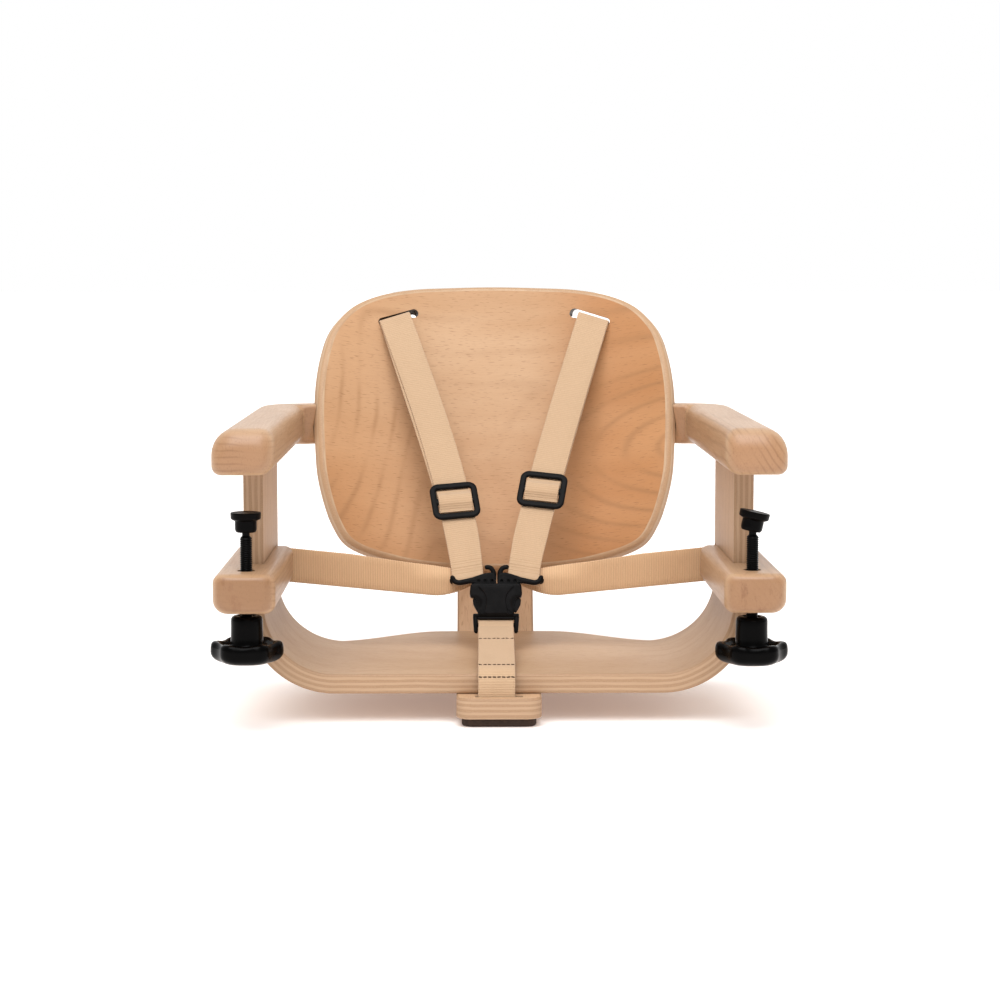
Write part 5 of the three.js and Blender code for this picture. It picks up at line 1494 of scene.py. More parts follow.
@dataclass
class Clamp:
    """One clamp: an M8 screw with a lobed knob below and a swivel pad above, in a threaded insert."""

    side: Side
    ball_height: float
    knob_top: float
    tilt: float
    radius: float = 4.0
    thread_pitch: float = 1.25
    thread_depth: float = 0.55
    neck: float = 2.5
    rim: float = 22.6
    rim_height: float = 16.0
    lobe: float = 1.3
    lobes: int = 6
    hub: float = 10.4
    knob_height: float = 32.0
    insert_top: float = 106.6

    def column(self, grid: Array) -> Array:
        """A grid turned about the screw's axis, set on this clamp's column."""
        return grid + (self.side.sign * ARM_X, CLAMP_Y, 0.0)

    def screw_grid(self) -> Array:
        """A threaded bar: the radius falls and rises once in each pitch, a helix as the angle goes round."""
        foot, top = self.knob_top - 21.7, self.ball_height - 3.7
        shoulder = top - 5.2
        threaded = np.arange(foot, shoulder, self.thread_pitch / 8.0)
        height = np.concatenate([threaded, [shoulder, shoulder + 0.9, shoulder + 1.3, top]])[:, None]
        angle = np.linspace(0.0, TURN, 33)[None, :]
        phase = np.mod(height / self.thread_pitch - angle / TURN, 1.0)
        groove = self.thread_depth * np.clip(1.5 * np.abs(2.0 * phase - 1.0) - 0.5, 0.0, 1.0)
        faded = groove * smoothstep(shoulder - height, 0.0, 1.2) * smoothstep(height - foot, 0.0, 1.0)
        chamfer = smoothstep(height, shoulder - 0.8, shoulder + 1.2)
        reach = self.radius - faded - (self.radius - self.neck) * chamfer
        wall = spots(reach * np.cos(angle), reach * np.sin(angle), height)
        first, last = wall[:1] * (0, 0, 1), wall[-1:] * (0, 0, 1)
        return self.column(np.concatenate([first, wall, last]))

    def knob_grid(self) -> Array:
        """A lobed disc, dished round its hub: rows of height, radius, lobe share and lift on the lobes."""
        top, hub = self.knob_height, self.hub
        disc = np.array([
            [0, 0, 0, 0], [0.001, 4, 0, 0], [0.01, 8, 0.05, 0], [0.035, 12, 0.15, 0], [0.075, 15.4, 0.4, 0],
            [0.135, 18.2, 0.6, 0], [0.215, 20.3, 0.8, 0], [0.315, 21.7, 0.92, 0], [0.42, 22.4, 1, 0],
            [0.535, self.rim, 1, 0], [0.695, 22.5, 1, 0.2], [0.775, 22.2, 1, 0.6], [0.835, 21.5, 1, 0.9],
            [0.868, 20.5, 0.95, 1], [0.875, 19, 0.85, 1], [0.848, 17.6, 0.7, 0.8], [0.775, 16.6, 0.5, 0.4],
            [0.715, 15.4, 0.3, 0.1], [0.7, 13.8, 0.1, 0], [0.715, 12.4, 0, 0], [0.775, 11.3, 0, 0],
            [0.895, hub + 0.35, 0, 0],
        ]) * (self.rim_height, 1.0, 1.0, 1.0)
        boss = np.zeros((12, 4))
        boss[:, 0] = top - np.array([14.0, 8.0, 3.2, 1.8, 0.8, 0.2, 0.0, 0.0, 0.5, 1.0, 22.0, 22.0])
        boss[:, 1] = hub - np.array([-0.15, 0.0, 0.0, 0.25, 0.9, 1.9, 3.0, 4.0, 4.6, 5.8, 6.1, hub])
        rows = np.concatenate([disc, boss])
        angle = np.linspace(0.0, TURN, 97)[None, :]
        wave = np.cos(self.lobes * angle)
        scallop = np.sign(wave) * np.abs(wave) ** 0.8
        height, radius, share, lift = (rows[:, [k]] for k in range(4))
        reach = radius + share * self.lobe * scallop
        level = height + lift * 1.1 * (0.5 + 0.5 * scallop) + self.knob_top - self.knob_height
        return self.column(spots(reach * np.cos(angle), reach * np.sin(angle), level))

    def pad_grid(self) -> Array:
        """The pad: a socket round the ball, a stem and a flange, tilted about the ball's centre."""
        socket = np.radians(np.linspace(0.0, 126.0, 12))
        profile = np.concatenate([
            spots(4.8 * np.sin(socket), 4.8 * np.cos(socket)),
            eased([
                (4.8, -4.2), (4.95, -5.6), (6.3, -5.6), (7.1, -3.9), (7.1, 1.9), (8.4, 2.4), (9.8, 3.1),
                (10.0, 7.4), (8.4, 7.4), (7.9, 7.15), (0.0, 7.15),
            ], 0.8)[1:],
        ])
        grid = lathe(profile, 56)
        cosine, sine = math.cos(self.tilt), math.sin(self.tilt)
        x, y, z = (grid[..., k] for k in range(3))
        turned = spots(x * cosine + z * sine, y, z * cosine - x * sine)
        return self.column(turned + (0.0, 0.0, self.ball_height))

    def insert_grid(self) -> Array:
        """The threaded bush: a flange over a barrel with shallow ribs, bored through."""
        top = self.insert_top
        profile = eased([
            (4.3, top - 8), (4.3, top), (5.7, top), (5.7, top - 2), (5.2, top - 2), (5.2, top - 16),
            (4.3, top - 16), (4.3, top - 8),
        ], 0.4)
        return self.column(lathe(profile, 40))

    def dress(self, palette: Palette) -> None:
        """Build the clamp's pieces; the swivel ball keeps its turned solid."""
        steel = (palette.black_steel, Slot.BLACK_STEEL)
        plan = (
            ("insert_bush", self.insert_grid(), *steel, "frame", "thread_insert"),
            ("threaded_screw", self.screw_grid(), *steel, "screw", "clamp_screw"),
            ("lobed_knob", self.knob_grid(), palette.gloss, Slot.KNOB, "screw", "knob"),
            ("clamp_pad", self.pad_grid(), palette.pad_black, Slot.MOULDED, "pad", "swivel_pad"),
        )
        for name, grid, finish, slot, body, node in plan:
            piece = Skin(self.side.name_of(name), finish).add(grid).build(35.0)
            carrier = body if body == "frame" else self.side.name_of(body)
            deliver(piece, carrier, slot, self.side.name_of(node))


def eye(centre: Array, heading: Array, gap: float, radius: float, lead: float) -> Array:
    """The turn of a strap round a bar: in along one side, round the bar and back along the other.

    The straight parts touch the round at the angle whose cosine is the radius over the distance.

    Args:
        centre: middle of the bar in the side view.
        heading: the way towards the bar.
        gap: how far left of the middle line the strap comes in; it leaves as far to the right.
        radius: radius of the middle of the strap round the bar.
        lead: how far before the bar the turn starts and ends.

    Returns:
        Points of the turn in order.
    """
    reach = math.hypot(lead, gap)
    touch = math.degrees(math.atan2(abs(gap), -lead) - math.acos(radius / reach))
    way = math.copysign(1.0, gap)
    local = np.concatenate([
        [[-lead, gap]], arc((0.0, 0.0), radius, way * touch, -way * touch, 40), [[-lead, -gap]],
    ])
    left = np.array([-heading[1], heading[0]])
    return centre + local[:, :1] * heading + local[:, 1:] * left


@dataclass
class Web:
    """Ribbed webbing of one width, swept along a path in its side view."""

    width: float = 25.0
    thickness: float = 1.5
    groove: float = 0.2
    layer: float = 0.85

    def section(self) -> tuple[Array, Array, Array]:
        """One turn round the strap: share of the width, then edge and face parts of the half thickness."""
        flat, round_edge = np.linspace(0.0, 1.0, 7), np.radians(np.linspace(90.0, -90.0, 6))[1:-1]
        share = np.concatenate([flat, np.ones(4), flat[::-1], np.zeros(4), [0.0]])
        edge = np.concatenate([np.zeros(7), np.cos(round_edge), np.zeros(7), -np.cos(round_edge), [0.0]])
        face = np.concatenate([np.ones(7), np.sin(round_edge), -np.ones(7), -np.sin(round_edge), [1.0]])
        return share, edge, face

    def sweep(self, skin: Skin, path: Array, at: Callable[[Array, Array], Array],
              edges: Callable[[Array], tuple[Array, Array]] | None = None) -> Array:
        """Add a strap to a skin; the half thickness dips once in each rib.

        Args:
            skin: the skin that takes the strap.
            path: the middle line in the side view.
            at: carries a side view point and a place across the strap into the chair.
            edges: lower and upper edge across the strap at each point; the full width if left out.

        Returns:
            The middle line as it was laid out.
        """
        path = resample(path, RIB_PITCH / 4.0)
        along = lengths(path)
        low, high = edges(path) if edges else (-self.width / 2.0, self.width / 2.0)
        dip = (0.5 - 0.5 * np.cos(TURN * along / RIB_PITCH))[:, None]
        half = self.thickness / 2.0 * (1.0 - self.groove * dip)
        nick = 1.8 * self.groove * dip
        low = np.broadcast_to(low, along.shape)[:, None] + nick
        high = np.broadcast_to(high, along.shape)[:, None] - nick
        share, edge, face = self.section()
        across = low + half + share * (high - low - 2.0 * half) + half * edge
        flat = path[:, None] + side_normals(path)[:, None] * (half * face)[..., None]
        lay = spots(along[:, None], lengths(spots(share * self.width, face * self.thickness / 2.0))[None, :])
        skin.sweep(at(flat, across), 0, lay)
        return path


def frame_loop(length: float, width: float, corner: float, wide: float, thick: float) -> Array:
    """A closed rounded frame of rounded bars, flat about the origin: sections along a rounded rectangle."""
    ring = rounded_rings(
        np.array([length - wide]), np.array([width - wide]), np.full((1, 4), corner - wide / 2.0), 8)[0]
    out = outward_normals(ring)
    section = rounded_rings(np.array([wide]), np.array([thick]), np.full((1, 4), 0.42 * thick), 4)[0]
    flat = ring[:, None] + out[:, None] * section[None, :, :1]
    return spots(flat[..., 0], section[None, :, 1], flat[..., 1])


@dataclass
class Harness:
    """Shoulder, waist and crotch straps with their sliders and the bars that hold them."""

    web: Web = field(default_factory=Web)
    strap: StrapFrame = field(default_factory=StrapFrame)
    bend: float = 4.0
    keeper_depth: float = 18.6
    keeper_radius: float = 2.5
    keeper_length: float = 40.0
    slider_places: dict[Side, float] = field(default_factory=lambda: {Side.LEFT: 66.5, Side.RIGHT: 76.5})
    slider_size: Sequence[float] = (31.0, 35.0, 3.0)
    slider_bar: float = 4.6
    slider_lift: float = 1.9
    slider_corner: float = 6.5
    slider_turns: dict[Side, float] = field(default_factory=lambda: {Side.LEFT: 5.0, Side.RIGHT: 3.4})
    bows: dict[Side, tuple[float, float]] = field(
        default_factory=lambda: {Side.LEFT: (7.0, 0.75), Side.RIGHT: (4.6, 0.6)})
    slips: dict[Side, float] = field(default_factory=lambda: {Side.LEFT: 1.7, Side.RIGHT: 0.3})
    leans: dict[Side, float] = field(default_factory=lambda: {Side.LEFT: 0.4, Side.RIGHT: 1.6})
    slope_span: Sequence[float] = (192.0, 242.0)
    pinch: float = 0.07
    pinch_span: Sequence[float] = (4.0, 44.0)
    lean_span: Sequence[float] = (0.0, 90.0)
    slip_span: Sequence[float] = (60.0, 242.0)
    crease: Sequence[float] = (0.2, 2.6)
    crease_rise: Sequence[float] = (3.0, 6.0)
    crease_fall: Sequence[float] = (8.0, 22.0)
    doubled_from: float = 64.0
    waist_pin: Sequence[float] = (174.2, 176.0, 2.0, 77.0, 111.0)
    waist_start: Sequence[float] = (13.4, 180.4)
    waist_full: float = 36.0
    waist_end: float = 157.0
    waist_low: Sequence[float] = (81.5, 0.1029)
    waist_high: Sequence[float] = (106.5, 0.1067)
    waist_curl: Sequence[float] = (15.0, 46.0, 11.9)
    waist_sag: Sequence[float] = (104.0, 69.0, 3.6)
    waist_lean: Sequence[float] = (84.0, 70.0, 0.83)
    buckle_bar: Sequence[float] = (158.24, 51.85)
    crotch_pin: Sequence[float] = (50.3, 10.8)
    crotch_crest: float = 37.0
    stitches: Sequence[Sequence[float]] = ((120.0, 48.2), (60.0, 39.6), (48.8, 33.7))

    def shoulder_path(self) -> Array:
        """One strap in its side view: behind, round the keeper, in front, round the hook's bar."""
        strap, gap = self.strap, self.web.layer
        corner = np.array([strap.length, 0.0])
        keeper = corner + strap.slot_in * (SLOT_STAND_OFF + self.keeper_depth)
        lead = 9.0
        middle = resample(filleted([(5.4, 0.0), corner, keeper - strap.slot_in * lead], self.bend), 0.5)
        left = side_normals(middle) * gap
        behind = (middle - left)[middle[:, 0] > self.doubled_from]
        turn = eye(keeper, strap.slot_in, -gap, self.keeper_radius + 1.05, lead)
        hook = eye(np.zeros(2), np.array([-1.0, 0.0]), -gap, 2.6, 5.4)
        return np.concatenate([behind, turn[1:-1], (middle + left)[::-1], hook[1:], [[6.2, -gap]]])

    def bow(self, side: Side, along: Array | float) -> Array:
        """How far a strap hangs towards the middle: half a sine wave, drawn towards the hook by a power."""
        size, power = self.bows[side]
        return size * np.sin(math.pi * np.clip(along / self.strap.length, 0.0, 1.0) ** power)

    def hang(self, side: Side, flat: Array, across: Array | float) -> Array:
        """Points of a strap that bows and slopes into its slot, pinched and creased above the hook.

        Its rear layer slips out aside by half a sine wave, and the creases are a sine wave that fades.

        Args:
            side: which strap.
            flat: points of its side view.
            across: places across it.

        Returns:
            Points of the right-hand strap.
        """
        along, lift = flat[..., 0], flat[..., 1]
        slope = SLOT_SLOPE * smoothstep(along, *self.slope_span)
        pinch = self.pinch * (1.0 - smoothstep(along, *self.pinch_span))
        lean = self.leans[side] * (1.0 - smoothstep(along, *self.lean_span))
        across = across * (1.0 - pinch) - lean
        start, end = self.slip_span
        slipped = np.clip((along - start) / (end - start), 0.0, 1.0)
        slip = self.slips[side] * (lift < 0.0) * np.sin(math.pi * slipped)
        depth, pitch = self.crease
        faded = smoothstep(along, *self.crease_rise) * (1.0 - smoothstep(along, *self.crease_fall))
        crease = depth * np.sin(TURN * along / pitch) * faded
        return self.strap.at(
            spots(along - slope * across, lift + crease), across - self.bow(side, along) + slip)

    def shoulder(self, palette: Palette, side: Side) -> None:
        """Build a shoulder strap, its keeper and its slider with the hump of webbing over the middle bar."""
        strap, sign = self.strap, side.sign
        skin = Skin(side.name_of("shoulder_webbing"), palette.webbing, sign=sign)
        self.web.sweep(skin, self.shoulder_path(), lambda flat, across: self.hang(side, flat, across))
        deliver(skin.build(WEB_CREASE), "frame", Slot.WEBBING, side.name_of("shoulder_strap"))
        keeper = np.array([strap.length, 0.0]) + strap.slot_in * (SLOT_STAND_OFF + self.keeper_depth)
        reach = self.keeper_length / 2.0
        ends = [self.hang(side, keeper, end) for end in (-reach, reach)]
        grid = bar(*ends, self.keeper_radius, strap.facing)
        piece = Skin(side.name_of("shoulder_keeper_bar"), palette.satin, sign=sign).add(grid).build()
        deliver(piece, "frame", Slot.MOULDED, side.name_of("shoulder_keeper"))
        self.slider(palette, side)

    def slider(self, palette: Palette, side: Side) -> None:
        """Build a slider and its hump, turned a little on the strap."""
        strap, sign = self.strap, side.sign
        length, width, thick = self.slider_size
        turn = math.radians(self.slider_turns[side])
        spot = self.hang(side, np.array([self.slider_places[side], 0.0]), 0.0)
        along = strap.along * math.cos(turn) - strap.across * math.sin(turn)
        place = Place(spot, along, strap.facing, np.cross(along, strap.facing))
        lift = (0.0, self.slider_lift + thick / 2.0, 0.0)
        skin = Skin(side.name_of("slider_frame"), palette.satin, sign=sign)
        skin.add(place.at(frame_loop(length, width, self.slider_corner, self.slider_bar, thick) + lift))
        half = width / 2.0 - 0.6 * self.slider_bar
        middle = rounded_box(
            (-self.slider_bar / 2, -thick / 2, -half), (self.slider_bar / 2, thick / 2, half), 1.1)
        skin.add(place.at(middle + lift))
        deliver(skin.build(), side.name_of("adjuster"), Slot.MOULDED, side.name_of("slider"))
        rise = np.array([[-9.5, 2.65], [-7.8, 2.75], [-5.4, 4.4], [-3.2, 6.1], [0.0, 6.5]])
        hump = resample(np.concatenate([rise, rise[-2::-1] * (-1.0, 1.0)]), 0.38)
        kernel = np.hanning(9) / np.hanning(9).sum()
        padded = np.concatenate([np.repeat(hump[:1], 4, axis=0), hump, np.repeat(hump[-1:], 4, axis=0)])
        soft = spots(*(np.convolve(padded[:, k], kernel, "valid") for k in range(2)))
        loop = Skin(side.name_of("slider_hump"), palette.webbing, sign=sign)
        self.web.sweep(loop, soft, lambda flat, across: place.at(spots(flat[..., 0], flat[..., 1], across)))
        deliver(loop.build(WEB_CREASE), side.name_of("adjuster"), Slot.WEBBING, side.name_of("slider_loop"))

    def waist_edges(self, path: Array) -> tuple[Array, Array]:
        """Lower and upper edge of a waist strap: sloping lines, the lower one curled up near the hook."""
        x = np.minimum(path[:, 0], self.waist_end)
        beyond = x - self.waist_end
        start, end, curl = self.waist_curl
        near = 1.0 - np.clip((x - start) / (end - start), 0.0, 1.0)
        low = self.waist_low[0] + beyond * self.waist_low[1] + curl * near**1.8
        place, length, sag = self.waist_sag
        sunk = np.clip((place - x) / length, 0.0, 1.3)
        return low, self.waist_high[0] + beyond * self.waist_high[1] - sag * sunk

    def waist_at(self, flat: Array, up: Array) -> Array:
        """Points of a waist strap, whose upper part leans back behind the shoulder strap near the hook."""
        height, far, slope = self.waist_lean
        near = 1.0 - smoothstep(flat[..., 0], self.waist_full, far)
        return spots(flat[..., 0], flat[..., 1] + slope * near * np.maximum(up - height, 0.0), up)

    def waist(self, palette: Palette, side: Side) -> None:
        """Build a waist strap, from behind the hook through the side panel and round its pin."""
        x, y, radius, low, high = self.waist_pin
        gap, lead = 0.8, 9.2
        full = (self.waist_full, self.waist_start[1])
        inside = filleted([self.waist_start, full, (150.5, y - gap), (x - lead, y - gap)], 5.0)
        turn = eye(np.array([x, y]), np.array([1.0, 0.0]), -gap, radius + 1.1, lead)
        path = np.concatenate([inside, turn[1:], [[152.0, y + gap]]])
        skin = Skin(side.name_of("waist_webbing"), palette.waist, sign=side.sign)
        self.web.sweep(skin, path, self.waist_at, self.waist_edges)
        deliver(skin.build(WEB_CREASE), "frame", Slot.WEBBING, side.name_of("waist_strap"))
        pin = bar((x, y, low), (x, y, high), radius, (1.0, 0.0, 0.0))
        piece = Skin(side.name_of("waist_keeper_bar"), palette.satin, sign=side.sign).add(pin).build()
        deliver(piece, "frame", Slot.MOULDED, side.name_of("waist_keeper"))

    def drift(self, depth: Array | float) -> Array:
        """How far the crotch strap lies aside of the middle, from its pin to the buckle."""
        return np.interp(depth, (self.crotch_pin[0], self.buckle_bar[0]), (-1.6, -0.8))

    def crotch(self, palette: Palette) -> None:
        """Build the doubled crotch strap with its rows of stitches, and its pin."""
        gap = self.web.layer
        top, pin = np.array(self.buckle_bar), np.array(self.crotch_pin)
        crest = np.array([pin[0], self.crotch_crest])
        middle = resample(filleted([top, crest, pin], 9.0), 0.5)
        lead = 8.0
        along = lengths(middle)
        middle = middle[(along > lead) & (along < along[-1] - lead)]
        left = side_normals(middle) * gap
        under = eye(pin, np.array([0.0, -1.0]), -gap, 3.6, lead)
        over = eye(top, unit(top - crest), -gap, 2.6, lead)
        half = middle.shape[0] // 2
        front, rear = middle - left, middle + left
        path = np.concatenate([rear[half::-1], over[1:-1], front, under[1:-1], rear[:half + 2:-1]])
        skin = Skin("crotch_webbing", palette.webbing, palette.thread)
        laid = self.web.sweep(
            skin, path, lambda flat, x: spots(x + self.drift(flat[..., 0]), flat[..., 0], flat[..., 1]))
        self.sew(skin, laid)
        deliver(skin.build(WEB_CREASE), "frame", Slot.WEBBING, "crotch_strap")
        rod = bar((-17.7, *pin), (17.7, *pin), 2.5, (0.0, 0.0, 1.0))
        piece = Skin("crotch_pin_bar", palette.zinc).add(rod).build()
        deliver(piece, "frame", Slot.ZINC, "crotch_pin")

    def sew(self, skin: Skin, laid: Array) -> None:
        """Add rows of stitches across the crotch strap: short bars of thread, each a little aslant.

        Args:
            skin: the strap's skin.
            laid: the strap's middle line in its side view.
        """
        normal = side_normals(laid)
        half_row, half_stitch, radius = 10.9, 1.2, 0.5
        for spot in self.stitches:
            row = int(np.argmin(np.linalg.norm(laid - np.asarray(spot), axis=1)))
            base = laid[row] - normal[row] * (self.web.thickness / 2.0 - 0.05)
            for place in np.linspace(-half_row, half_row, 8) + self.drift(base[0]):
                slant = np.array([0.0, 0.45 * math.sin(5.0 * place)])
                start, end = (place - half_stitch, *(base + slant)), (place + half_stitch, *(base - slant))
                skin.add(bar(start, end, radius, (0.0, 1.0, 0.0)), None, 1)

    def dress(self, palette: Palette) -> None:
        """Build every strap."""
        for side in Side:
            self.shoulder(palette, side)
            self.waist(palette, side)
        self.crotch(palette)


def eased_loop(corners: Sequence[Sequence[float]], edge: float, spacing: float) -> Array:
    """A closed outline with eased corners at even steps, from the middle of its first side."""
    places = np.asarray(corners, dtype=np.float64)
    start = (places[0] + places[1]) / 2.0
    open_line = np.concatenate([[start], places[1:], places[:1], [start]])
    return resample(eased(open_line, edge), spacing)


@dataclass
class Buckle:
    """Side release buckle: a hollow case with legs, a pair of hooked tongues and their sprung prongs."""

    strap: StrapFrame = field(default_factory=StrapFrame)
    lean: float = math.radians(16.0)
    thickness: float = 9.0
    half_width: float = 20.0
    height: float = 23.0
    tongue_thickness: float = 4.0
    prong_thickness: float = 4.4
    squeeze: float = 0.92
    pockets: Sequence[float] = (4.6, 9.8, 14.8)
    bar_radius: float = 1.5
    bar_reach: float = 12.0
    stub_reach: float = 11.0
    stub_foot: float = 26.4

    def __post_init__(self) -> None:
        """Work out where the buckle stands: x across, y up its lean and z towards the viewer."""
        up = np.array([0.0, math.sin(self.lean), math.cos(self.lean)])
        facing = np.array([0.0, -math.cos(self.lean), math.sin(self.lean)])
        self.place = Place(np.array([-0.7, 160.0, 58.0]), np.array([self.squeeze, 0.0, 0.0]), up, facing)

    def plate(self, skin: Skin, outline: Array, thickness: float, edge: float, front: float,
              middle: Sequence[float], rings: int = 6) -> Skin:
        """Add a plate with rounded rims to a skin, its front face at a given z."""
        sheet = Sheet(thickness, edge, lambda a, b, d: self.place.at(spots(a, b, front - d)))
        return sheet.cover(skin, *sheet.disc(outline, middle, rings), 0)

    def local_block(self, name: str, low: Sequence[float], high: Sequence[float],
                    finish: bpy.types.Material) -> bpy.types.Object:
        """A straight-sided tool in the buckle's own directions."""
        ring = np.array([
            [low[0], low[1]], [high[0], low[1]], [high[0], high[1]], [low[0], high[1]], [low[0], low[1]]])
        return prism(name, ring, self.place, low[2], high[2], finish)

    def relief_tool(self, side: Side, finish: bpy.types.Material) -> bpy.types.Object:
        """An egg-shaped tool that hollows the case's face beside its raised panel."""
        angle = np.linspace(0.0, math.pi, 19)
        ball = lathe(spots(np.sin(angle), -np.cos(angle)), 36) * (7.6, 8.6, 4.4)
        ball = ball + (16.4, 8.6, 7.6)
        grid = self.place.at(ball * (side.sign, 1.0, 1.0))
        return Skin("relief", finish).add(grid).build()

    def case(self, palette: Palette) -> None:
        """Build the case: hollow, hollowed at its flanks, with a raised waisted panel, legs and bars."""
        half = np.array([
            [0.72, 0], [0.7, 0.13], [0.69, 0.283], [0.71, 0.435], [0.8, 0.548], [1, 0.583], [1.015, 0.717],
            [0.975, 1],
        ]) * (self.half_width, self.height)
        outline = eased_loop([*half, *(half[::-1] * (-1.0, 1.0))], 2.2, 0.7)
        body = Skin("buckle_case", palette.satin)
        front = self.thickness / 2.0
        self.plate(body, outline, self.thickness, 1.3, front, (0.0, self.height / 2.0), 8)
        tools = [
            self.local_block("cavity", (-17.5, 3.0, -2.5), (17.5, 46.0, 2.5), palette.satin),
            self.local_block("side_gap", (-40.0, 0.6, -2.5), (40.0, 13.0, 2.5), palette.satin),
            *[self.relief_tool(side, palette.satin) for side in Side],
        ]
        case = carve(body.build(), *tools, solver="MANIFOLD")
        more = Skin("buckle_more", palette.satin)
        panel = np.array([
            [9.8, 0.9], [8.6, 5.0], [7.6, 9.0], [7.7, 12.5], [9.4, 16.4], [12.6, 19.0], [14.6, 21.4],
        ])
        raised = eased_loop([*panel, *(panel[::-1] * (-1.0, 1.0))], 2.4, 0.6)
        self.plate(more, raised, 2.0, 0.75, front + 0.8, (0.0, 11.5), 5)
        more.add(self.place.at(rounded_box((-10.3, 0.0, -front), (10.3, 2.8, front), 0.8)))
        more.add(self.place.at(rounded_box((-17.8, -0.9, -3.0), (17.8, 1.6, 3.0), 1.0)))
        more.add(self.place.at(rounded_box((-14.4, -2.8, -2.4), (14.4, -0.6, 2.8), 1.0)))
        for sign in (-1.0, 1.0):
            leg = rounded_box((13.9, -12.4, -2.6), (17.9, 0.9, 2.6), 1.7, 5)
            taper = np.clip((-4.0 - leg[..., 1]) / 8.4, 0.0, 1.0)
            leg[..., 0] = leg[..., 0] - 1.1 * taper**2 * (leg[..., 0] - 13.8) / 4.0
            more.add(self.place.at(leg * (sign, 1.0, 1.0)))
        ends = self.place.at(np.array([[-15.0, -6.4, 0.0], [15.0, -6.4, 0.0]]))
        more.add(bar(*ends, self.bar_radius, (0.0, 0.0, 1.0)))
        deliver(gather(case, more.build()), "frame", Slot.MOULDED, "buckle_body")

    def tongue(self, palette: Palette, side: Side) -> None:
        """Build a tongue: a pierced plate, an outer and an inner hook of round bar, and the strap's bar."""
        front = self.tongue_thickness / 2.0
        body = Skin(side.name_of("tongue_plate"), palette.satin, sign=side.sign)
        outline = eased_loop([
            (1.0, 20.4), (17.2, 20.4), (17.2, 23.2), (21.0, 23.4), (23.4, 25.0), (21.0, 27.4), (16.0, 29.0),
            (11.5, 30.4), (7.2, 31.2), (4.0, 31.2), (1.4, 29.5),
        ], 1.2, 0.5)
        self.plate(body, outline, self.tongue_thickness, 1.0, front, (10.0, 25.2), 6)
        pocket = np.array([(-1.5, 24.1), (1.5, 24.1), (1.0, 26.3), (-1.0, 26.3), (-1.5, 24.1)])
        holes = [
            prism("pocket", pocket + (x, 0.0), self.place, 0.2, 4.0, palette.satin, sign=side.sign)
            for x in self.pockets
        ]
        plate = carve(body.build(), *holes, solver="MANIFOLD")
        more = Skin("tongue_more", palette.satin, sign=side.sign)
        outer = [
            (16.0, 26.4), (21.0, 25.6), (26.0, 24.6), (30.6, 23.9), (33.8, 25.2), (35.2, 27.8), (34.9, 29.4),
        ]
        inner = [(3.2, 25.0), (3.0, 29.0), (3.4, 32.2), (5.2, 34.7), (8.0, 35.4), (10.2, 34.7)]
        for corners, thick, thin in ((outer, 2.2, 1.7), (inner, 1.9, 1.6)):
            line = resample(eased(corners, 2.4), 0.35)
            radius = round_ended(line, np.linspace(thick, thin, line.shape[0]))
            path = self.place.at(spots(line[:, 0], line[:, 1], 0.0))
            more.add(tube(path, radius, self.place.z))
        hook, across = self.strap.hook, self.strap.across
        reach = across * self.bar_reach
        more.add(bar(hook - reach, hook + reach, self.bar_radius, self.strap.facing))
        for end in (-self.stub_reach, self.stub_reach):
            start = hook + across * end
            aside = float(start[0] - self.place.origin[0]) / self.squeeze
            foot = self.place.at(np.array([aside, self.stub_foot, 0.0]))
            more.add(bar(start, foot, self.bar_radius, across))
        deliver(gather(plate, more.build()), "frame", Slot.MOULDED, side.name_of("hook_tongue"))

    def prong(self, palette: Palette, side: Side) -> None:
        """Build a sprung prong, which shows in the waist of the case."""
        outline = eased_loop([
            (12.8, 19.3), (16.4, 19.3), (16.6, 13.2), (19.6, 12.2), (19.0, 7.8), (15.4, 2.0), (12.6, 4.4),
            (12.0, 8.0), (12.8, 13.0),
        ], 1.2, 0.5)
        skin = Skin(side.name_of("prong_spring"), palette.satin, sign=side.sign)
        self.plate(skin, outline, self.prong_thickness, 0.6, self.prong_thickness / 2.0, (14.4, 11.0))
        deliver(skin.build(), side.name_of("prong"), Slot.MOULDED, side.name_of("latch_prong"))

    def dress(self, palette: Palette) -> None:
        """Build the whole buckle."""
        self.case(palette)
        for side in Side:
            self.tongue(palette, side)
            self.prong(palette, side)


@dataclass
class Foot:
    """A dark rubber pad under the strip."""

    name: str
    y: float
    width: float = 50.0
    depth: float = 36.0
    height: float = 5.7
    corner: float = 6.0

    def dress(self, palette: Palette) -> None:
        """Build the pad as rounded outlines from the floor up."""
        level = np.array([0.0, 0.25, 0.8, 1.6, 4.9, 5.5, self.height])
        share = np.array([0.945, 0.965, 0.985, 1.0, 1.0, 0.995, 0.985])
        radii = np.full((level.size, 4), self.corner)
        ring = rounded_rings(self.width * share, self.depth * share, radii, 8)
        grid = spots(ring[..., 0], ring[..., 1] + self.y, level[:, None])
        piece = Skin(f"{self.name}_pad", palette.rubber).sweep(grid).build(WOOD_CREASE)
        deliver(piece, "frame", Slot.RUBBER, self.name)


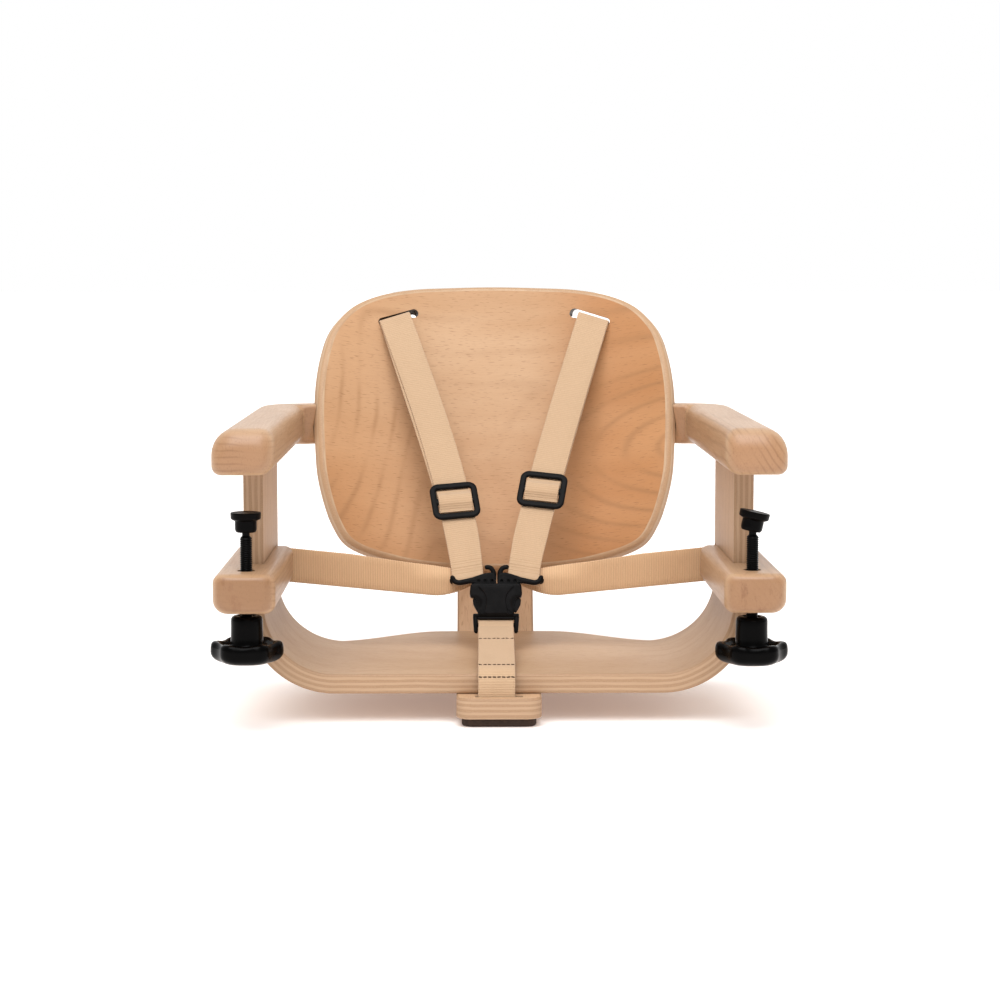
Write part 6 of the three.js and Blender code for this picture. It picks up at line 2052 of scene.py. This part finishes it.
@dataclass
class Studio:
    """White floor and surroundings, a soft high light, a fill from the front, and the camera."""

    eye_point: Colour = (-0.0216, -1.68202, 0.3032)
    lens: float = 84.8
    down: float = 5.58
    yaw: float = -0.82
    reach: float = 30.0
    floor_glow: Colour = (0.235, 0.185, 0.163)
    room_light: Sequence[float] = (0.58, 1.2)
    suns: Sequence[tuple[str, float, float, float, float]] = (
        ("high_light", 2.85, 50.0, 29.0, -5.0), ("front_light", 0.32, 30.0, 56.0, 14.0))

    def sun(self, name: str, energy: float, spread: float, tip: float, lean: float) -> None:
        """Add an even light: its spread, its tip from overhead and its lean to a side, in degrees."""
        lamp = bpy.data.lights.new(name, "SUN")
        lamp.energy = energy
        lamp.angle = math.radians(spread)
        thing = bpy.data.objects.new(name, lamp)
        thing.rotation_euler = (math.radians(tip), math.radians(lean), 0.0)
        bpy.context.scene.collection.objects.link(thing)

    def room(self) -> bpy.types.World:
        """Surroundings white to the eye, and as a light dim in front and bright behind the chair."""
        world = bpy.data.worlds.new("white_room")
        world.use_nodes = True
        tree = world.node_tree
        glow, seen = tree.nodes["Background"], tree.nodes.new("ShaderNodeBackground")
        mix, rear = tree.nodes.new("ShaderNodeMixShader"), tree.nodes.new("ShaderNodeMapRange")
        way, split = tree.nodes.new("ShaderNodeTexCoord"), tree.nodes.new("ShaderNodeSeparateXYZ")
        for node in (glow, seen):
            node.inputs["Color"].default_value = (1.0, 1.0, 1.0, 1.0)
        rear.inputs["To Min"].default_value, rear.inputs["To Max"].default_value = self.room_light
        tree.links.new(way.outputs["Generated"], split.inputs[0])
        tree.links.new(split.outputs["Y"], rear.inputs["Value"])
        tree.links.new(rear.outputs[0], glow.inputs["Strength"])
        tree.links.new(tree.nodes.new("ShaderNodeLightPath").outputs["Is Camera Ray"], mix.inputs[0])
        tree.links.new(glow.outputs[0], mix.inputs[1])
        tree.links.new(seen.outputs[0], mix.inputs[2])
        tree.links.new(mix.outputs[0], tree.nodes["World Output"].inputs["Surface"])
        return world

    def dress(self) -> None:
        """Set out the studio."""
        scene = bpy.context.scene
        scene.view_settings.view_transform = "Standard"
        scene.world = self.room()
        for sun in self.suns:
            self.sun(*sun)
        tones = ((0.9, 0.9, 0.9), (0.91, 0.91, 0.91))
        pale = Plain("studio_floor", *tones, 0.4, 0.9, self.floor_glow).material()
        mesh = bpy.data.meshes.new("floor")
        corners = np.array([[-1, -1, 0], [1, -1, 0], [1, 1, 0], [-1, 1, 0]]) * self.reach
        mesh.from_pydata(corners.tolist(), [], [(0, 1, 2, 3)])
        mesh.materials.append(pale)
        floor = bpy.data.objects.new("floor", mesh)
        scene.collection.objects.link(floor)
        lens = bpy.data.cameras.new("camera")
        lens.lens = self.lens
        camera = bpy.data.objects.new("camera", lens)
        camera.location = self.eye_point
        camera.rotation_euler = (math.radians(90.0 - self.down), 0.0, math.radians(self.yaw))
        scene.collection.objects.link(camera)
        scene.camera = camera


def main() -> None:
    logging.basicConfig(level=logging.INFO, format="%(name)s %(message)s")
    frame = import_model()
    palette = Palette()
    screw, back, strip, shell = WoodScrew(), Backrest(), Strip(), SeatShell()
    underside, upward = strip.top - strip.thickness, np.array([0.0, 0.0, 1.0])
    under = {
        name: screw.place(np.array([0.0, y, underside]), upward)
        for name, y in (("seat_screw_front", 115.0), ("seat_screw_rear", 160.0))
    }
    depth = back.ply + FIT + strip.thickness
    behind = {
        name: screw.place(back.frame.at(0.0, up, depth), back.frame.facing)
        for name, up in (("back_screw_lower", -70.0), ("back_screw_upper", 10.0))
    }
    fixings = {**under, **behind}
    back.dress(palette)
    strip.dress(palette, [screw.hole(place, palette.edge) for place in fixings.values()])
    for name, place in fixings.items():
        screw.dress(palette, name, place, FIXING_LENGTH)
    shell.dress(palette, strip)
    for side in Side:
        UpperArm().dress(palette, side, back, shell, screw)
        LowerArm().dress(palette, side, shell, screw)
        ball = frame["nodes"][side.name_of("swivel_ball")]
        for slot in ball.material_slots:
            slot.material = palette.black_steel
    Clamp(Side.LEFT, 139.1, 79.0, 0.0).dress(palette)
    Clamp(Side.RIGHT, 139.4, 77.8, math.radians(12.0)).dress(palette)
    Harness().dress(palette)
    Buckle().dress(palette)
    for foot in (Foot("front_foot", 65.0), Foot("rear_foot", 205.03)):
        foot.dress(palette)
    Studio().dress()


if __name__ == "__main__":
    main()
